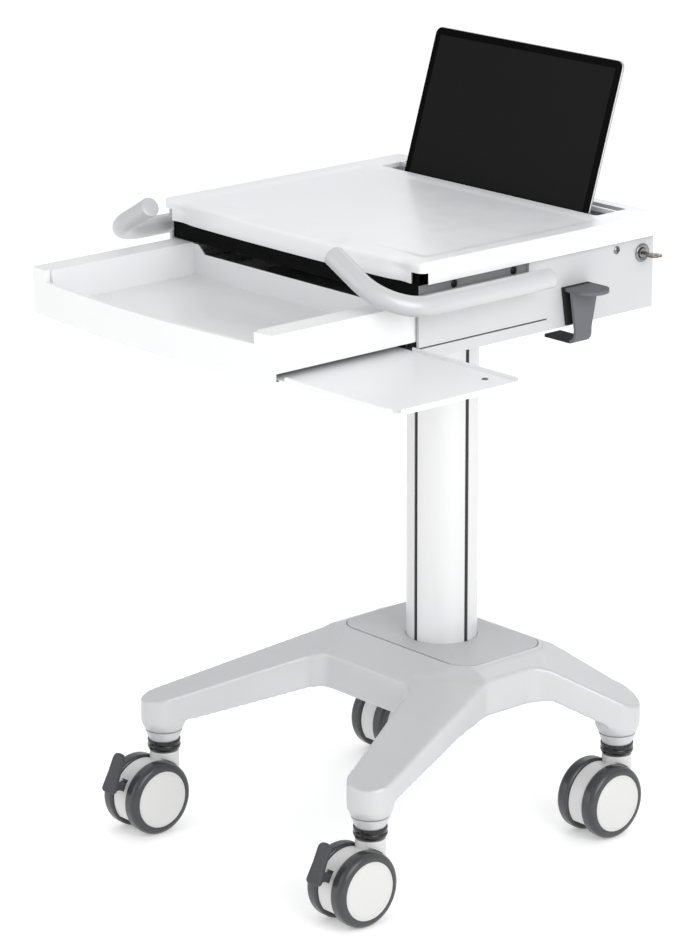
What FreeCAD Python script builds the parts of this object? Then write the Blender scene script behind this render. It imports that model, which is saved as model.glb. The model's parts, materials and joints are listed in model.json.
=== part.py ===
import FreeCAD, Part
import math
import os
import re
import Sketcher
from FreeCAD import Vector, Placement, Rotation

# Height-adjustable medication cart, millimetres.
# Origin: on the floor, under the middle of the column.  +Z is up, the drawer
# opens towards -Y (the front), +X is on the right of a person at the front.

DIMENSIONS = {
    # casters
    "wheel_radius": 48, "tyre_bore": 37.7, "wheel_gap": 12.5, "wheel_face": 32.5,
    "hub_neck": 14, "hub_well": 7, "well_inner": 17, "well_outer": 31, "hub_rim": 34,
    "trail": 30, "caster_x": 200, "front_caster_y": -303, "rear_caster_y": 123,
    "axle_radius": 4, "axle_half": 27, "running_gap": 0.05, "seat_gap": 0.02,
    "hood_half": 11.5, "hood_radius": 44.5, "hood_open": 0.45, "boss_radius": 19,
    "boss_top": 101.4, "ring_radius": 21, "ring_low": 102, "ring_top": 115,
    "ring_edge": 2, "pin_radius": 6, "pin_low": 62, "pin_top": 146, "socket_low": 115.3,
    "socket_top": 129.8, "socket_radius": 24,
    "pedal_radius": 58, "pedal_width": 24, "pedal_thick": 8, "pedal_length": 54,
    "pedal_lean": 24, "pedal_pin_radius": 2.5, "pedal_pin_back": 34, "pedal_pin_rise": 21,
    "pedal_arm_width": 11, "pedal_arm_long": 26.4, "pedal_arm_thick": 8,
    # base
    "tip_radius": 29, "tip_chamfer_low": 130, "leg_inner_angle": 29,
    "leg_outer_angle": 14.5, "notch_x": 88, "front_edge": -132, "waist": 151,
    "waist_front": -62, "waist_back": 18, "rear_notch_x": 112, "rear_edge": 94,
    "notch_round": 32, "waist_round": 45, "hub_top": 242, "casting_top": 241.3,
    "apron_drop": 17, "apron_slope": 0.245, "side_slope": 0.39,
    "front_leg_turn": 54.7, "front_leg_start": 121, "front_leg_knee": 140,
    "front_leg_drop": 13.3, "front_leg_slope": 0.223,
    "rear_leg_turn": 29.6, "rear_leg_start": 130, "rear_leg_slope": 0.54,
    "leg_bottom": 141, "hub_bottom": 182, "apron_bottom": 177, "front_belly_y": -275,
    "front_belly_z": 150, "rear_belly_start": 164, "casting_wall": 6,
    "tip_boss_top": 162, "seat_wall": 12, "rib": 8, "rib_height": 42,
    "cover_half_x": 121, "cover_half_y": 73, "cover_corner": 30, "cover_thick": 4,
    "cover_gap": 0.8,
    # column
    "column_radius": 46, "column_bore": 33, "column_foot": 186, "column_top": 690,
    "groove_width": 6, "groove_depth": 6, "glide_height": 20, "inner_radius": 30,
    "inner_wall": 3, "inner_foot": 300, "spring_radius": 14, "spring_top": 560,
    "rod_radius": 5, "rod_foot": 206, "plate_low": 692, "plate_thick": 5.9,
    "plate_half_x": 80, "plate_half_y": 65,
    "lever_x": -68, "lever_y": -54, "pivot_radius": 4, "lever_eye": 11, "lever_tip": -218,
    "lever_arm_width": 12, "paddle_length": 34, "paddle_width": 28, "paddle_thick": 10,
    # housing
    "floor_low": 698, "sheet": 3, "wall": 4, "housing_half": 231.4,
    "housing_front": -254, "housing_back": 138, "housing_top": 789, "rear_top": 786,
    "window_back": -75, "window_sill": 776, "slot_back": -44, "slot_low": 711.2,
    "slot_high": 713.9, "slot_lip": 3.5, "deck_low": 767.5, "deck_thick": 2.5, "fascia_height": 40,
    "deck_notch_x": 203, "deck_notch_y": 100,
    "handle_x": 266.3, "handle_z": 774.8, "handle_radius": 12.4, "handle_back": -72,
    "handle_front": -329.5, "handle_bend": 60,
    "grip_x": 168.2, "grip_y": -333.4, "grip_z": 828.5,
    "foot_near": -194, "foot_far": -97, "foot_width": 18, "foot_height": 10,
    "screw_radius": 5, "screw_head": 2,
    "hook_out": 250, "hook_thick": 4, "hook_top": 748, "hook_foot": 700.5,
    "hook_low": 678, "hook_curl": 12, "hook_toe": 196, "hook_front_top": -21,
    "hook_back_top": 25, "hook_front_low": -13, "hook_back_low": 14, "hook_taper_z": 697,
    "lip_out": 264, "lip_round": 24,
    "lock_y": 118, "lock_z": 769, "lock_radius": 9.5, "collar_radius": 11.5,
    "lock_depth": 22, "plug_radius": 6, "key_thick": 2, "blade_width": 8,
    "bow_start": 13, "bow_length": 17, "bow_width": 18,
    # worktop
    "top_half": 240, "top_front": -257, "top_bow": 6.5, "top_back": 145,
    "top_z": 816.5, "top_thick": 4, "skirt_low": 790, "skirt": 3, "top_corner": 8,
    "slot_half": 197, "slot_front": 72, "slot_rear": 107, "field_side": 28,
    "field_front": 30, "field_back": 18, "field_depth": 1.2, "notch_width": 18.4,
    "notch_depth": 10, "notch_height": 14.5,
    "hinge_y": 138.5, "hinge_z": 798, "hinge_radius": 2, "lug_round": 3.3,
    "lug_width": 8, "lug_low": 784, "knuckle_length": 46, "knuckle_start": 73,
    "knuckle_thick": 8, "knuckle_top": 812, "hinge_pin_length": 62, "hinge_pin_start": 65,
    # laptop
    "laptop_half": 168.7, "laptop_low": 771, "laptop_thick": 13,
    "laptop_front": -138, "laptop_back": 80, "screen_y": 79, "screen_low": 785,
    "screen_length": 220, "screen_thick": 4, "glass_thick": 1.2, "glass_inset": 1,
    "screen_lean": 17.5,
    # drawer
    "drawer_half": 225.5, "drawer_front": -468, "drawer_back": -247,
    "drawer_top": 766, "drawer_side_low": 720, "rim_inner": 192, "drawer_floor": 725,
    "drawer_wall": 2, "rear_high": 765, "rear_dip": 754, "rear_step_out": 182,
    "rear_step_in": 169.5, "nose_inset": 30,
    "fascia_low": 709, "fascia_thick": 5, "fascia_bow": 16.5,
    "fascia_cut": 752, "fascia_cut_half": 197, "fascia_pad": 3,
    "rail_low": 727, "rail_high": 747, "rail_x": 196, "rail_width": 18,
    "rail_length": 375, "rail_lip": 4, "rail_foot_x": 206, "rail_foot_width": 8,
    "rail_foot_length": 160, "runner_width": 15.5, "runner_length": 380,
    # mouse tray
    "tray_inner": 206, "tray_outer": 425, "tray_front": -465, "tray_back": -266,
    "tray_low": 711.8, "tray_sheet": 1.5, "tray_rim": 3, "tray_rim_top": 718,
    "tray_rim_start": 236, "tray_corner": 20, "carrier_x": -20, "carrier_length": 242,
    "carrier_drop": 2.2, "tray_screw_x": 381, "tray_screw_y": -289, "tray_screw_radius": 4,
}

doc = FreeCAD.newDocument("MedicationCart")
dims = doc.addObject("Spreadsheet::Sheet", "Dims")
for row, (alias, value) in enumerate(DIMENSIONS.items(), start=1):
    dims.set(f"A{row}", alias.replace("_", " "))
    dims.set(f"B{row}", str(value))
    dims.setAlias(f"B{row}", alias)
scratch = doc.addObject("Spreadsheet::Sheet", "Scratch")
doc.recompute()

parts = []


def bound(formula):
    """A formula over the sheet's aliases, as a FreeCAD expression."""
    def qualify(word):
        return "Dims." + word[0] if word[0] in DIMENSIONS else word[0]
    return re.sub(r"[A-Za-z_]\w*", qualify, str(formula))


def number(formula):
    """The value of a formula over the sheet's aliases."""
    scratch.set("A1", f"={bound(formula)}")
    scratch.recompute()
    value = scratch.get("A1")
    return float(getattr(value, "Value", value))


def bind(item, **formulas):
    """Bind properties to formulas; x, y and z stand for the Placement's base."""
    for name, formula in formulas.items():
        path = ".Placement.Base." + name if name in ("x", "y", "z") else name
        item.setExpression(path, bound(formula))
    return item


def keep(item, label):
    """Mark an object as a finished sub-part with the given name."""
    item.Label = label
    parts.append(item)
    return item


# ---------------------------------------------------------------- primitives
def box(name, x, y, z, length, width, height):
    """A block from its low corner x, y, z."""
    item = doc.addObject("Part::Box", name)
    return bind(item, x=x, y=y, z=z, Length=length, Width=width, Height=height)


TURNS = {
    "x": Rotation(Vector(0, 1, 0), 90),
    "y": Rotation(Vector(1, 0, 0), -90),
    "z": Rotation(),
}


def rod(name, axis, x, y, z, radius, length):
    """A cylinder that starts at x, y, z and runs along +axis."""
    item = doc.addObject("Part::Cylinder", name)
    item.Placement = Placement(Vector(), TURNS[axis])
    return bind(item, x=x, y=y, z=z, Radius=radius, Height=length)


def cone(name, x, y, z, low_radius, high_radius, height):
    item = doc.addObject("Part::Cone", name)
    return bind(item, x=x, y=y, z=z, Radius1=low_radius, Radius2=high_radius, Height=height)


def fuse(name, *items):
    item = doc.addObject("Part::MultiFuse", name)
    item.Shapes = list(items)
    item.Refine = True
    return item


def group(name, *items):
    """Separate solids that share one node."""
    item = doc.addObject("Part::Compound", name)
    item.Links = list(items)
    return item


def cut(name, base, *tools):
    item = doc.addObject("Part::Cut", name)
    item.Base = base
    item.Tool = tools[0] if len(tools) == 1 else group(name + "_tools", *tools)
    return item


def mirrored(name, item):
    """The same piece on the other side of the YZ plane."""
    twin = doc.addObject("Part::Mirroring", name)
    twin.Source = item
    twin.Normal = Vector(1, 0, 0)
    return twin


# ------------------------------------------------------ PartDesign features
def new_body(name):
    item = doc.addObject("PartDesign::Body", name)
    doc.recompute()
    return item


def attach(sketch, body, plane, lift="0", turn=0):
    """Put a sketch on one of its body's origin planes, lifted along its normal."""
    planes = {feature.Role: feature for feature in body.Origin.OriginFeatures}
    sketch.AttachmentSupport = [(planes[plane], "")]
    sketch.MapMode = "FlatFace"
    sketch.AttachmentOffset = Placement(Vector(), Rotation(Vector(0, 1, 0), turn))
    sketch.setExpression(".AttachmentOffset.Base.z", bound(lift))


def outline(body, name, plane, corners, arcs=None, lift="0", turn=0):
    """A closed sketch through corners; arcs maps an edge's index to its radius.

    A positive radius bulges to the right of the direction of travel.
    """
    sketch = body.newObject("Sketcher::SketchObject", name)
    attach(sketch, body, plane, lift, turn)
    arcs = arcs or {}
    points = [Vector(number(x), number(y), 0) for x, y in corners]
    ends = []
    for index, start in enumerate(points):
        finish = points[(index + 1) % len(points)]
        if index not in arcs:
            sketch.addGeometry(Part.LineSegment(start, finish))
            ends.append((1, 2))
            continue
        radius = number(arcs[index])
        chord = finish - start
        left = Vector(-chord.y, chord.x, 0).normalize()
        rise = (radius ** 2 - (chord.Length / 2) ** 2) ** 0.5
        centre = (start + finish) * 0.5 + left * (rise if radius > 0 else -rise)
        bulge = centre - left * radius
        sketch.addGeometry(Part.Arc(start, bulge, finish))
        ends.append((1, 2) if radius > 0 else (2, 1))
    count = len(points)
    for index in range(count):
        follower = (index + 1) % count
        link = ("Coincident", index, ends[index][1], follower, ends[follower][0])
        sketch.addConstraint(Sketcher.Constraint(*link))
    for index, corner in enumerate(corners):
        for kind, formula in zip(("DistanceX", "DistanceY"), corner):
            value = number(formula)
            rule = Sketcher.Constraint(kind, -1, 1, index, ends[index][0], value)
            place = sketch.addConstraint(rule)
            sketch.setExpression(f"Constraints[{place}]", bound(formula))
    for index, radius in arcs.items():
        rule = Sketcher.Constraint("Radius", index, abs(number(radius)))
        place = sketch.addConstraint(rule)
        sketch.setExpression(f"Constraints[{place}]", bound(f"abs({radius})"))
    return sketch


def rounds(body, name, plane, centres, radius, lift="0"):
    """Circles of one radius in one sketch."""
    sketch = body.newObject("Sketcher::SketchObject", name)
    attach(sketch, body, plane, lift)
    for index, centre in enumerate(centres):
        middle = Vector(number(centre[0]), number(centre[1]), 0)
        sketch.addGeometry(Part.Circle(middle, Vector(0, 0, 1), number(radius)))
        for kind, formula in zip(("DistanceX", "DistanceY"), centre):
            rule = Sketcher.Constraint(kind, -1, 1, index, 3, number(formula))
            place = sketch.addConstraint(rule)
            sketch.setExpression(f"Constraints[{place}]", bound(formula))
        place = sketch.addConstraint(Sketcher.Constraint("Radius", index, number(radius)))
        sketch.setExpression(f"Constraints[{place}]", bound(radius))
    return sketch


def pad(body, sketch, length, both=False):
    item = body.newObject("PartDesign::Pad", sketch.Name + "_pad")
    item.Profile = sketch
    item.Midplane = both
    bind(item, Length=length)
    body.Tip = item
    return item


def pocket(body, sketch, length, both=False, up=False):
    """Cut a sketch into the body, and check that material went."""
    doc.recompute()
    before = body.Shape.Volume
    item = body.newObject("PartDesign::Pocket", sketch.Name + "_pocket")
    item.Profile = sketch
    item.Midplane = both
    item.Reversed = up
    bind(item, Length=length)
    body.Tip = item
    doc.recompute()
    if body.Shape.Volume > before - 1e-3:
        raise RuntimeError(f"{item.Name} removed nothing")
    return item


def round_edges(body, radius, wanted):
    """Fillet the vertical edges whose plan position satisfies wanted(x, y)."""
    doc.recompute()
    tip = body.Tip
    names = []
    for index, edge in enumerate(tip.Shape.Edges, start=1):
        low, high = edge.Vertexes[0].Point, edge.Vertexes[-1].Point
        upright = (low - high).Length > 1 and (low - high).cross(Vector(0, 0, 1)).Length < 1e-6
        if upright and wanted(low.x, low.y):
            names.append(f"Edge{index}")
    item = body.newObject("PartDesign::Fillet", "fillet")
    item.Base = (tip, names)
    bind(item, Radius=radius)
    body.Tip = item
    doc.recompute()
    return item


def turned(body, name, plane, corners, arcs=None):
    """Revolve a closed half profile about the sketch's own vertical or X axis."""
    sketch = outline(body, name, plane, corners, arcs)
    item = body.newObject("PartDesign::Revolution", name + "_turn")
    item.Profile = sketch
    item.ReferenceAxis = (sketch, ["V_Axis" if plane == "XZ_Plane" else "H_Axis"])
    item.Angle = 360
    body.Tip = item
    return item


def both_sides(corners):
    """A right-hand run of corners, followed by its mirror image backwards."""
    return corners + [(f"-({x})", y) for x, y in reversed(corners)]


# ------------------------------------------------------------------- casters
def wheel_pieces(code, x, y):
    """Two wheels, each a hub with a closed cap and a tyre round it."""
    inner = "wheel_gap + 0.5"
    hub_profile = [
        (inner, "axle_radius + running_gap"), (inner, "hub_neck"),
        ("wheel_gap + hub_well", "well_inner"), ("wheel_gap + hub_well", "well_outer"),
        (inner, "hub_rim"), (inner, "tyre_bore"), ("wheel_face - 1", "tyre_bore"),
        ("wheel_face", "tyre_bore - 4"), ("wheel_face + 0.8", "tyre_bore / 2"),
        ("wheel_face + 1", "0"), ("axle_half + 1", "0"),
        ("axle_half + 1", "axle_radius + running_gap"),
    ]
    tyre_profile = [
        ("wheel_gap", "tyre_bore + seat_gap"), ("wheel_gap", "wheel_radius - 5"),
        ("wheel_gap + 2.5", "wheel_radius - 1.2"), ("wheel_gap + 6", "wheel_radius"),
        ("wheel_face - 7", "wheel_radius"), ("wheel_face - 2.5", "wheel_radius - 1.8"),
        ("wheel_face", "wheel_radius - 6"), ("wheel_face", "tyre_bore + seat_gap"),
    ]
    for side in ("right", "left"):
        for kind, profile in (("hub", hub_profile), ("tyre", tyre_profile)):
            body = new_body(f"{code}_{kind}_{side}")
            turned(body, f"{code}_{kind}_{side}_profile", "XY_Plane", profile)
            if side == "left":
                body.Placement.Rotation = Rotation(Vector(0, 0, 1), 180)
            bind(body, x=x, y=f"{y} - trail", z="wheel_radius")
            keep(body, f"caster_{code}_{kind}_{side}")


def caster(code, x, y, braked):
    """A twin-wheel swivel caster, its kingpin on the vertical line x, y."""
    stem = new_body(f"{code}_stem")
    turned(stem, f"{code}_stem_profile", "XZ_Plane", [
        ("0", "pin_low"), ("pin_radius", "pin_low"), ("pin_radius", "ring_low"),
        ("ring_radius - ring_edge", "ring_low"), ("ring_radius", "ring_low + ring_edge"),
        ("ring_radius", "ring_top - ring_edge"), ("ring_radius - ring_edge", "ring_top"),
        ("pin_radius", "ring_top"), ("pin_radius", "pin_top"), ("0", "pin_top")])
    bind(stem, x=x, y=y)
    keep(stem, f"caster_{code}_stem")

    axle_y = f"{y} - trail"
    hood = rod(f"{code}_hood", "x", f"{x} - hood_half", axle_y, "wheel_radius",
               "hood_radius", "2 * hood_half")
    boss = rod(f"{code}_boss", "z", x, y, "wheel_radius - 8", "boss_radius",
               "boss_top - wheel_radius + 8")
    clearances = [rod(f"{code}_clear_{side}", "x", start, axle_y, "wheel_radius",
                      "wheel_radius + 1.5", "wheel_radius")
                  for side, start in (("right", f"{x} + hood_half"),
                                      ("left", f"{x} - hood_half - wheel_radius"))]
    neck = cut(f"{code}_neck", boss, *clearances)
    under = box(f"{code}_under", f"{x} - boss_radius - 1", f"{axle_y} - hood_radius - 5",
                "0", "2 * boss_radius + 2", "2 * hood_radius + trail",
                "wheel_radius * hood_open")
    bore = rod(f"{code}_bore", "z", x, y, "pin_low - 1", "pin_radius + running_gap",
               "wheel_radius")
    axle_bore = rod(f"{code}_axle_bore", "x", f"{x} - boss_radius", axle_y, "wheel_radius",
                    "axle_radius + seat_gap", "2 * boss_radius")
    tools = [under, bore, axle_bore]
    if braked:
        tools.append(rod(f"{code}_pedal_bore", "x", f"{x} - boss_radius",
                         f"{axle_y} - pedal_pin_back", "wheel_radius + pedal_pin_rise",
                         "pedal_pin_radius + running_gap", "2 * boss_radius"))
        tools.append(box(f"{code}_pedal_slot", f"{x} - pedal_arm_width / 2 - 0.5",
                         f"{axle_y} - hood_radius - 2", "wheel_radius + pedal_pin_rise - 7",
                         "pedal_arm_width + 1", "22", "14"))
    shell = fuse(f"{code}_shell", hood, neck)
    keep(cut(f"{code}_housing", shell, *tools), f"caster_{code}_housing")

    axle = rod(f"{code}_axle", "x", f"{x} - axle_half", axle_y, "wheel_radius",
               "axle_radius", "2 * axle_half")
    keep(axle, f"caster_{code}_axle")
    wheel_pieces(code, x, y)
    if braked:
        brake_pedal(code, x, axle_y)


def brake_pedal(code, x, axle_y):
    """A foot pedal over the front of the hood, on a pin across the housing."""
    pin = rod(f"{code}_pedal_pin", "x", f"{x} - hood_half + 1", f"{axle_y} - pedal_pin_back",
              "wheel_radius + pedal_pin_rise", "pedal_pin_radius", "2 * hood_half - 2")
    arm = box(f"{code}_pedal_arm", f"{x} - pedal_arm_width / 2", f"{axle_y} - pedal_radius - 2",
              "wheel_radius + pedal_pin_rise - 4", "pedal_arm_width", "pedal_arm_long",
              "pedal_arm_thick")
    plate = doc.addObject("Part::Box", f"{code}_pedal_plate")
    plate.Placement = Placement(Vector(), Rotation(Vector(1, 0, 0), -number("pedal_lean")))
    bind(plate, x=f"{x} - pedal_width / 2", y=f"{axle_y} - pedal_radius - 8",
         z="wheel_radius + pedal_pin_rise - 3", Length="pedal_width", Width="pedal_thick",
         Height="pedal_length")
    keep(fuse(f"{code}_pedal", pin, arm, plate), f"caster_{code}_brake_pedal")


# ---------------------------------------------------------------------- base
CASTERS = {
    "fl": ("-caster_x", "front_caster_y"), "fr": ("caster_x", "front_caster_y"),
    "rl": ("-caster_x", "rear_caster_y"), "rr": ("caster_x", "rear_caster_y"),
}


def above(line):
    """The region over a falling line, closed over the hub."""
    return line + [(line[-1][0], "hub_top + 1"), (line[0][0], "hub_top + 1")]


def flipped(corners):
    """The mirror image of a run of corners, in the same sense of travel."""
    return [(f"-({x})", z) for x, z in reversed(corners)]


def star(name, inset, drop):
    """The four-legged base's outside, pulled in by inset and lowered by drop."""
    body = new_body(name)
    tip = f"(tip_radius - {inset})"
    right = [
        (f"notch_x + {inset} * 0.59", f"front_edge + {inset}"),
        (f"caster_x - {tip} * cos(leg_inner_angle)",
         f"front_caster_y - {tip} * sin(leg_inner_angle)"),
        (f"caster_x + {tip} * cos(leg_outer_angle)",
         f"front_caster_y + {tip} * sin(leg_outer_angle)"),
        (f"waist - {inset}", "waist_front"),
        (f"waist - {inset}", "waist_back"),
        (f"caster_x + {tip} * cos(leg_inner_angle)",
         f"rear_caster_y - {tip} * sin(leg_inner_angle)"),
        (f"caster_x - {tip} * sin(leg_outer_angle)",
         f"rear_caster_y + {tip} * cos(leg_outer_angle)"),
        (f"rear_notch_x - {inset} * 0.1", f"rear_edge - {inset}"),
    ]
    top = f"casting_top - {drop}"
    for part, plan in (
            ("plan", outline(body, name + "_plan", "XY_Plane", both_sides(right),
                             lift="leg_bottom - 20")),
            ("tips", rounds(body, name + "_tips", "XY_Plane", CASTERS.values(), tip,
                            lift="leg_bottom - 20"))):
        height = f"{top} - leg_bottom + 20" if part == "plan" else "80"
        pad(body, plan, height)
    if inset == "0":
        notch_x, waist = number("notch_x"), number("waist")
        round_edges(body, "notch_round", lambda x, y: abs(abs(x) - notch_x) < 2 and y < -100)
        round_edges(body, "waist_round", lambda x, y: abs(abs(x) - waist) < 2)
    apron = above([("cover_half_y", top), ("-front_edge", f"{top} - apron_drop"),
                   ("450", f"{top} - apron_drop - (450 + front_edge) * apron_slope")])
    rear = above([("cover_half_y", top), ("300", f"{top} - (300 - cover_half_y) * side_slope")])
    side = above([("cover_half_x", top), ("350", f"{top} - (350 - cover_half_x) * side_slope")])
    front_leg = above([("front_leg_start", top), ("front_leg_knee", f"{top} - front_leg_drop"),
                       ("450", f"{top} - front_leg_drop - (450 - front_leg_knee) * front_leg_slope")])
    rear_leg = above([("rear_leg_start", top),
                      ("350", f"{top} - (350 - rear_leg_start) * rear_leg_slope")])
    front_turn, rear_turn = number("front_leg_turn"), number("rear_leg_turn")
    slopes = {
        "front": ("YZ_Plane", flipped(apron), 0), "rear": ("YZ_Plane", rear, 0),
        "right": ("XZ_Plane", side, 0), "left": ("XZ_Plane", flipped(side), 0),
        "front_right": ("XZ_Plane", front_leg, -front_turn),
        "front_left": ("XZ_Plane", flipped(front_leg), front_turn),
        "rear_right": ("XZ_Plane", rear_leg, rear_turn),
        "rear_left": ("XZ_Plane", flipped(rear_leg), -rear_turn),
    }
    for place, (plane, corners, turn) in slopes.items():
        sketch = outline(body, f"{name}_{place}_slope", plane, corners, turn=turn)
        pocket(body, sketch, "900", both=True)
    return body


def belly():
    """The space under the casting: low at the four leg tips, high under the hub."""
    body = new_body("base_belly")
    profile = [("-400", "0"), ("-400", "leg_bottom"),
               ("front_caster_y - tip_radius", "leg_bottom"),
               ("front_belly_y", "front_belly_z"), ("front_edge", "apron_bottom"),
               ("waist_front", "hub_bottom"), ("rear_caster_y + 60", "hub_bottom"),
               ("rear_caster_y + 60", "0")]
    pad(body, outline(body, "belly_profile", "YZ_Plane", profile), "900", both=True)
    reach = "rear_belly_start + (hub_bottom - leg_bottom) / rear_leg_slope"
    leg = [("rear_belly_start", "hub_bottom"), (reach, "leg_bottom"), ("350", "leg_bottom"),
           ("350", "hub_bottom + 1"), ("rear_belly_start", "hub_bottom + 1")]
    turn = number("rear_leg_turn")
    for side, corners, angle in (("right", leg, turn), ("left", flipped(leg), -turn)):
        sketch = outline(body, f"belly_{side}", "XZ_Plane", corners, turn=angle)
        pocket(body, sketch, "900", both=True)
    return body


def base_frame():
    """The cast base: a hollow star with bosses for the casters and the column."""
    outer = star("base_outer", "0", "0")
    hollow = star("base_hollow", "casting_wall", "casting_wall")
    shell = cut("base_shell", outer, hollow, belly())
    posts = [rod(f"tip_post_{code}", "z", x, y, "leg_bottom", "tip_radius",
                 "tip_boss_top - leg_bottom") for code, (x, y) in CASTERS.items()]
    chamfers = [cone(f"tip_chamfer_{code}", x, y, "tip_chamfer_low", "socket_radius",
                     "tip_radius", "leg_bottom - tip_chamfer_low")
                for code, (x, y) in CASTERS.items()]
    seat = rod("column_seat", "z", "0", "0", "hub_bottom + 1", "column_radius + seat_wall",
               "casting_top - casting_wall - hub_bottom")
    ribs = box("base_ribs", "-waist + 4", "-rib / 2", "hub_bottom + 1", "2 * waist - 8", "rib",
               "rib_height")
    spine = box("base_spine", "-rib / 2", "front_edge + 3", "hub_bottom + 1", "rib",
                "rear_edge - front_edge - 6", "rib_height - 10")
    solid = fuse("base_solid", shell, seat, ribs, spine, *posts, *chamfers)
    tools = [rod(f"tip_bore_{code}", "z", x, y, "tip_chamfer_low - 1", "pin_radius + seat_gap",
                 "pin_top - tip_chamfer_low + 1.2") for code, (x, y) in CASTERS.items()]
    tools.append(rod("column_socket", "z", "0", "0", "column_foot - 0.2",
                     "column_radius + seat_gap", "hub_top - column_foot"))
    recess = new_body("cover_recess")
    pad(recess, cover_outline(recess, "recess_plan", "cover_gap", "hub_top - cover_thick - 0.2"),
        "2 * cover_thick")
    round_edges(recess, "cover_corner", lambda x, y: True)
    tools.append(recess)
    keep(cut("base_casting", solid, *tools), "base_frame")


def cover_outline(body, name, grow, lift):
    """The cover plate's rectangle, larger all round by grow."""
    right = [(f"cover_half_x + {grow}", f"-cover_half_y - {grow}"),
             (f"cover_half_x + {grow}", f"cover_half_y + {grow}")]
    return outline(body, name, "XY_Plane", both_sides(right), lift=lift)


def base_cover():
    body = new_body("cover_plate")
    pad(body, cover_outline(body, "cover_plan", "0", "hub_top - cover_thick"), "cover_thick")
    round_edges(body, "cover_corner", lambda x, y: True)
    hole = rounds(body, "cover_hole", "XY_Plane", [("0", "0")], "column_radius + cover_gap / 2",
                  lift="hub_top + 1")
    pocket(body, hole, "cover_thick + 2")
    keep(body, "base_cover")


def caster_sockets():
    """Tapered collars under the leg tips, each bored for its kingpin."""
    collars = []
    for code, (x, y) in CASTERS.items():
        taper = cone(f"socket_{code}_taper", x, y, "socket_low", "ring_radius",
                     "socket_radius", "socket_top - socket_low")
        bore = rod(f"socket_{code}_bore", "z", x, y, "socket_low - 1",
                   "pin_radius + seat_gap", "socket_top - socket_low + 2")
        collars.append(cut(f"socket_{code}", taper, bore))
    keep(group("sockets", *collars), "caster_sockets")


# -------------------------------------------------------------------- column
def column():
    """A grooved outer tube, a sliding inner tube and the gas spring inside."""
    tube = rod("tube_outside", "z", "0", "0", "column_foot", "column_radius",
               "column_top - column_foot")
    tools = [rod("tube_bore", "z", "0", "0", "column_foot - 1", "column_bore",
                 "column_top - column_foot + 2")]
    half = "groove_width / 2"
    deep = "column_radius - groove_depth"
    spots = {
        "right": (deep, f"-{half}", "groove_depth + 1", "groove_width"),
        "left": ("-column_radius - 1", f"-{half}", "groove_depth + 1", "groove_width"),
        "back": (f"-{half}", deep, "groove_width", "groove_depth + 1"),
        "front": (f"-{half}", "-column_radius - 1", "groove_width", "groove_depth + 1"),
    }
    for side, (x, y, length, width) in spots.items():
        tools.append(box(f"groove_{side}", x, y, "hub_top - cover_thick", length, width, "column_top"))
    keep(cut("outer_tube", tube, *tools), "column_outer")

    rings = []
    for name, low in (("low", "column_top - 4 * glide_height"),
                      ("high", "column_top - glide_height - 2")):
        ring = rod(f"glide_{name}_outside", "z", "0", "0", low, "column_bore - running_gap",
                   "glide_height")
        hole = rod(f"glide_{name}_hole", "z", "0", "0", f"{low} - 1",
                   "inner_radius + running_gap", "glide_height + 2")
        rings.append(cut(f"glide_{name}", ring, hole))
    keep(group("glides", *rings), "column_glides")

    inner = rod("inner_outside", "z", "0", "0", "inner_foot", "inner_radius",
                "plate_low - inner_foot - 0.1")
    inner_bore = rod("inner_bore", "z", "0", "0", "inner_foot - 1",
                     "inner_radius - inner_wall", "plate_low - inner_foot + 2")
    keep(cut("inner_tube", inner, inner_bore), "column_inner")

    cylinder = rod("spring_outside", "z", "0", "0", "column_foot + 1", "spring_radius",
                   "spring_top - column_foot - 1")
    spring_bore = rod("spring_bore", "z", "0", "0", "rod_foot - 8",
                      "rod_radius + running_gap", "spring_top")
    keep(cut("gas_cylinder", cylinder, spring_bore), "gas_spring_cylinder")
    spring_rod = rod("gas_rod", "z", "0", "0", "rod_foot", "rod_radius",
                     "plate_low - rod_foot - 0.1")
    keep(spring_rod, "gas_spring_rod")
    plate = box("head_plate", "-plate_half_x", "-plate_half_y", "plate_low", "2 * plate_half_x",
                "2 * plate_half_y", "plate_thick")
    pivot = rod("lever_pivot", "z", "lever_x", "lever_y", "plate_low - 12", "pivot_radius", "12.1")
    keep(fuse("head_plate_assembly", plate, pivot), "column_head_plate")


def lift_lever():
    """The height release lever under the worktop, swinging about a stud."""
    eye = rod("lever_boss", "z", "lever_x", "lever_y", "plate_low - 10", "lever_eye", "7")
    arm = box("lever_arm", "lever_tip + 30", "lever_y - lever_arm_width / 2", "plate_low - 9",
              "lever_x - lever_tip - 34", "lever_arm_width", "5")
    paddle = box("lever_paddle", "lever_tip", "lever_y - paddle_width / 2", "plate_low - 12",
                 "paddle_length", "paddle_width", "paddle_thick")
    solid = fuse("lever_solid", eye, arm, paddle)
    hole = rod("lever_hole", "z", "lever_x", "lever_y", "plate_low - 20",
               "pivot_radius + running_gap", "30")
    keep(cut("lever", solid, hole), "lift_lever")


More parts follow.
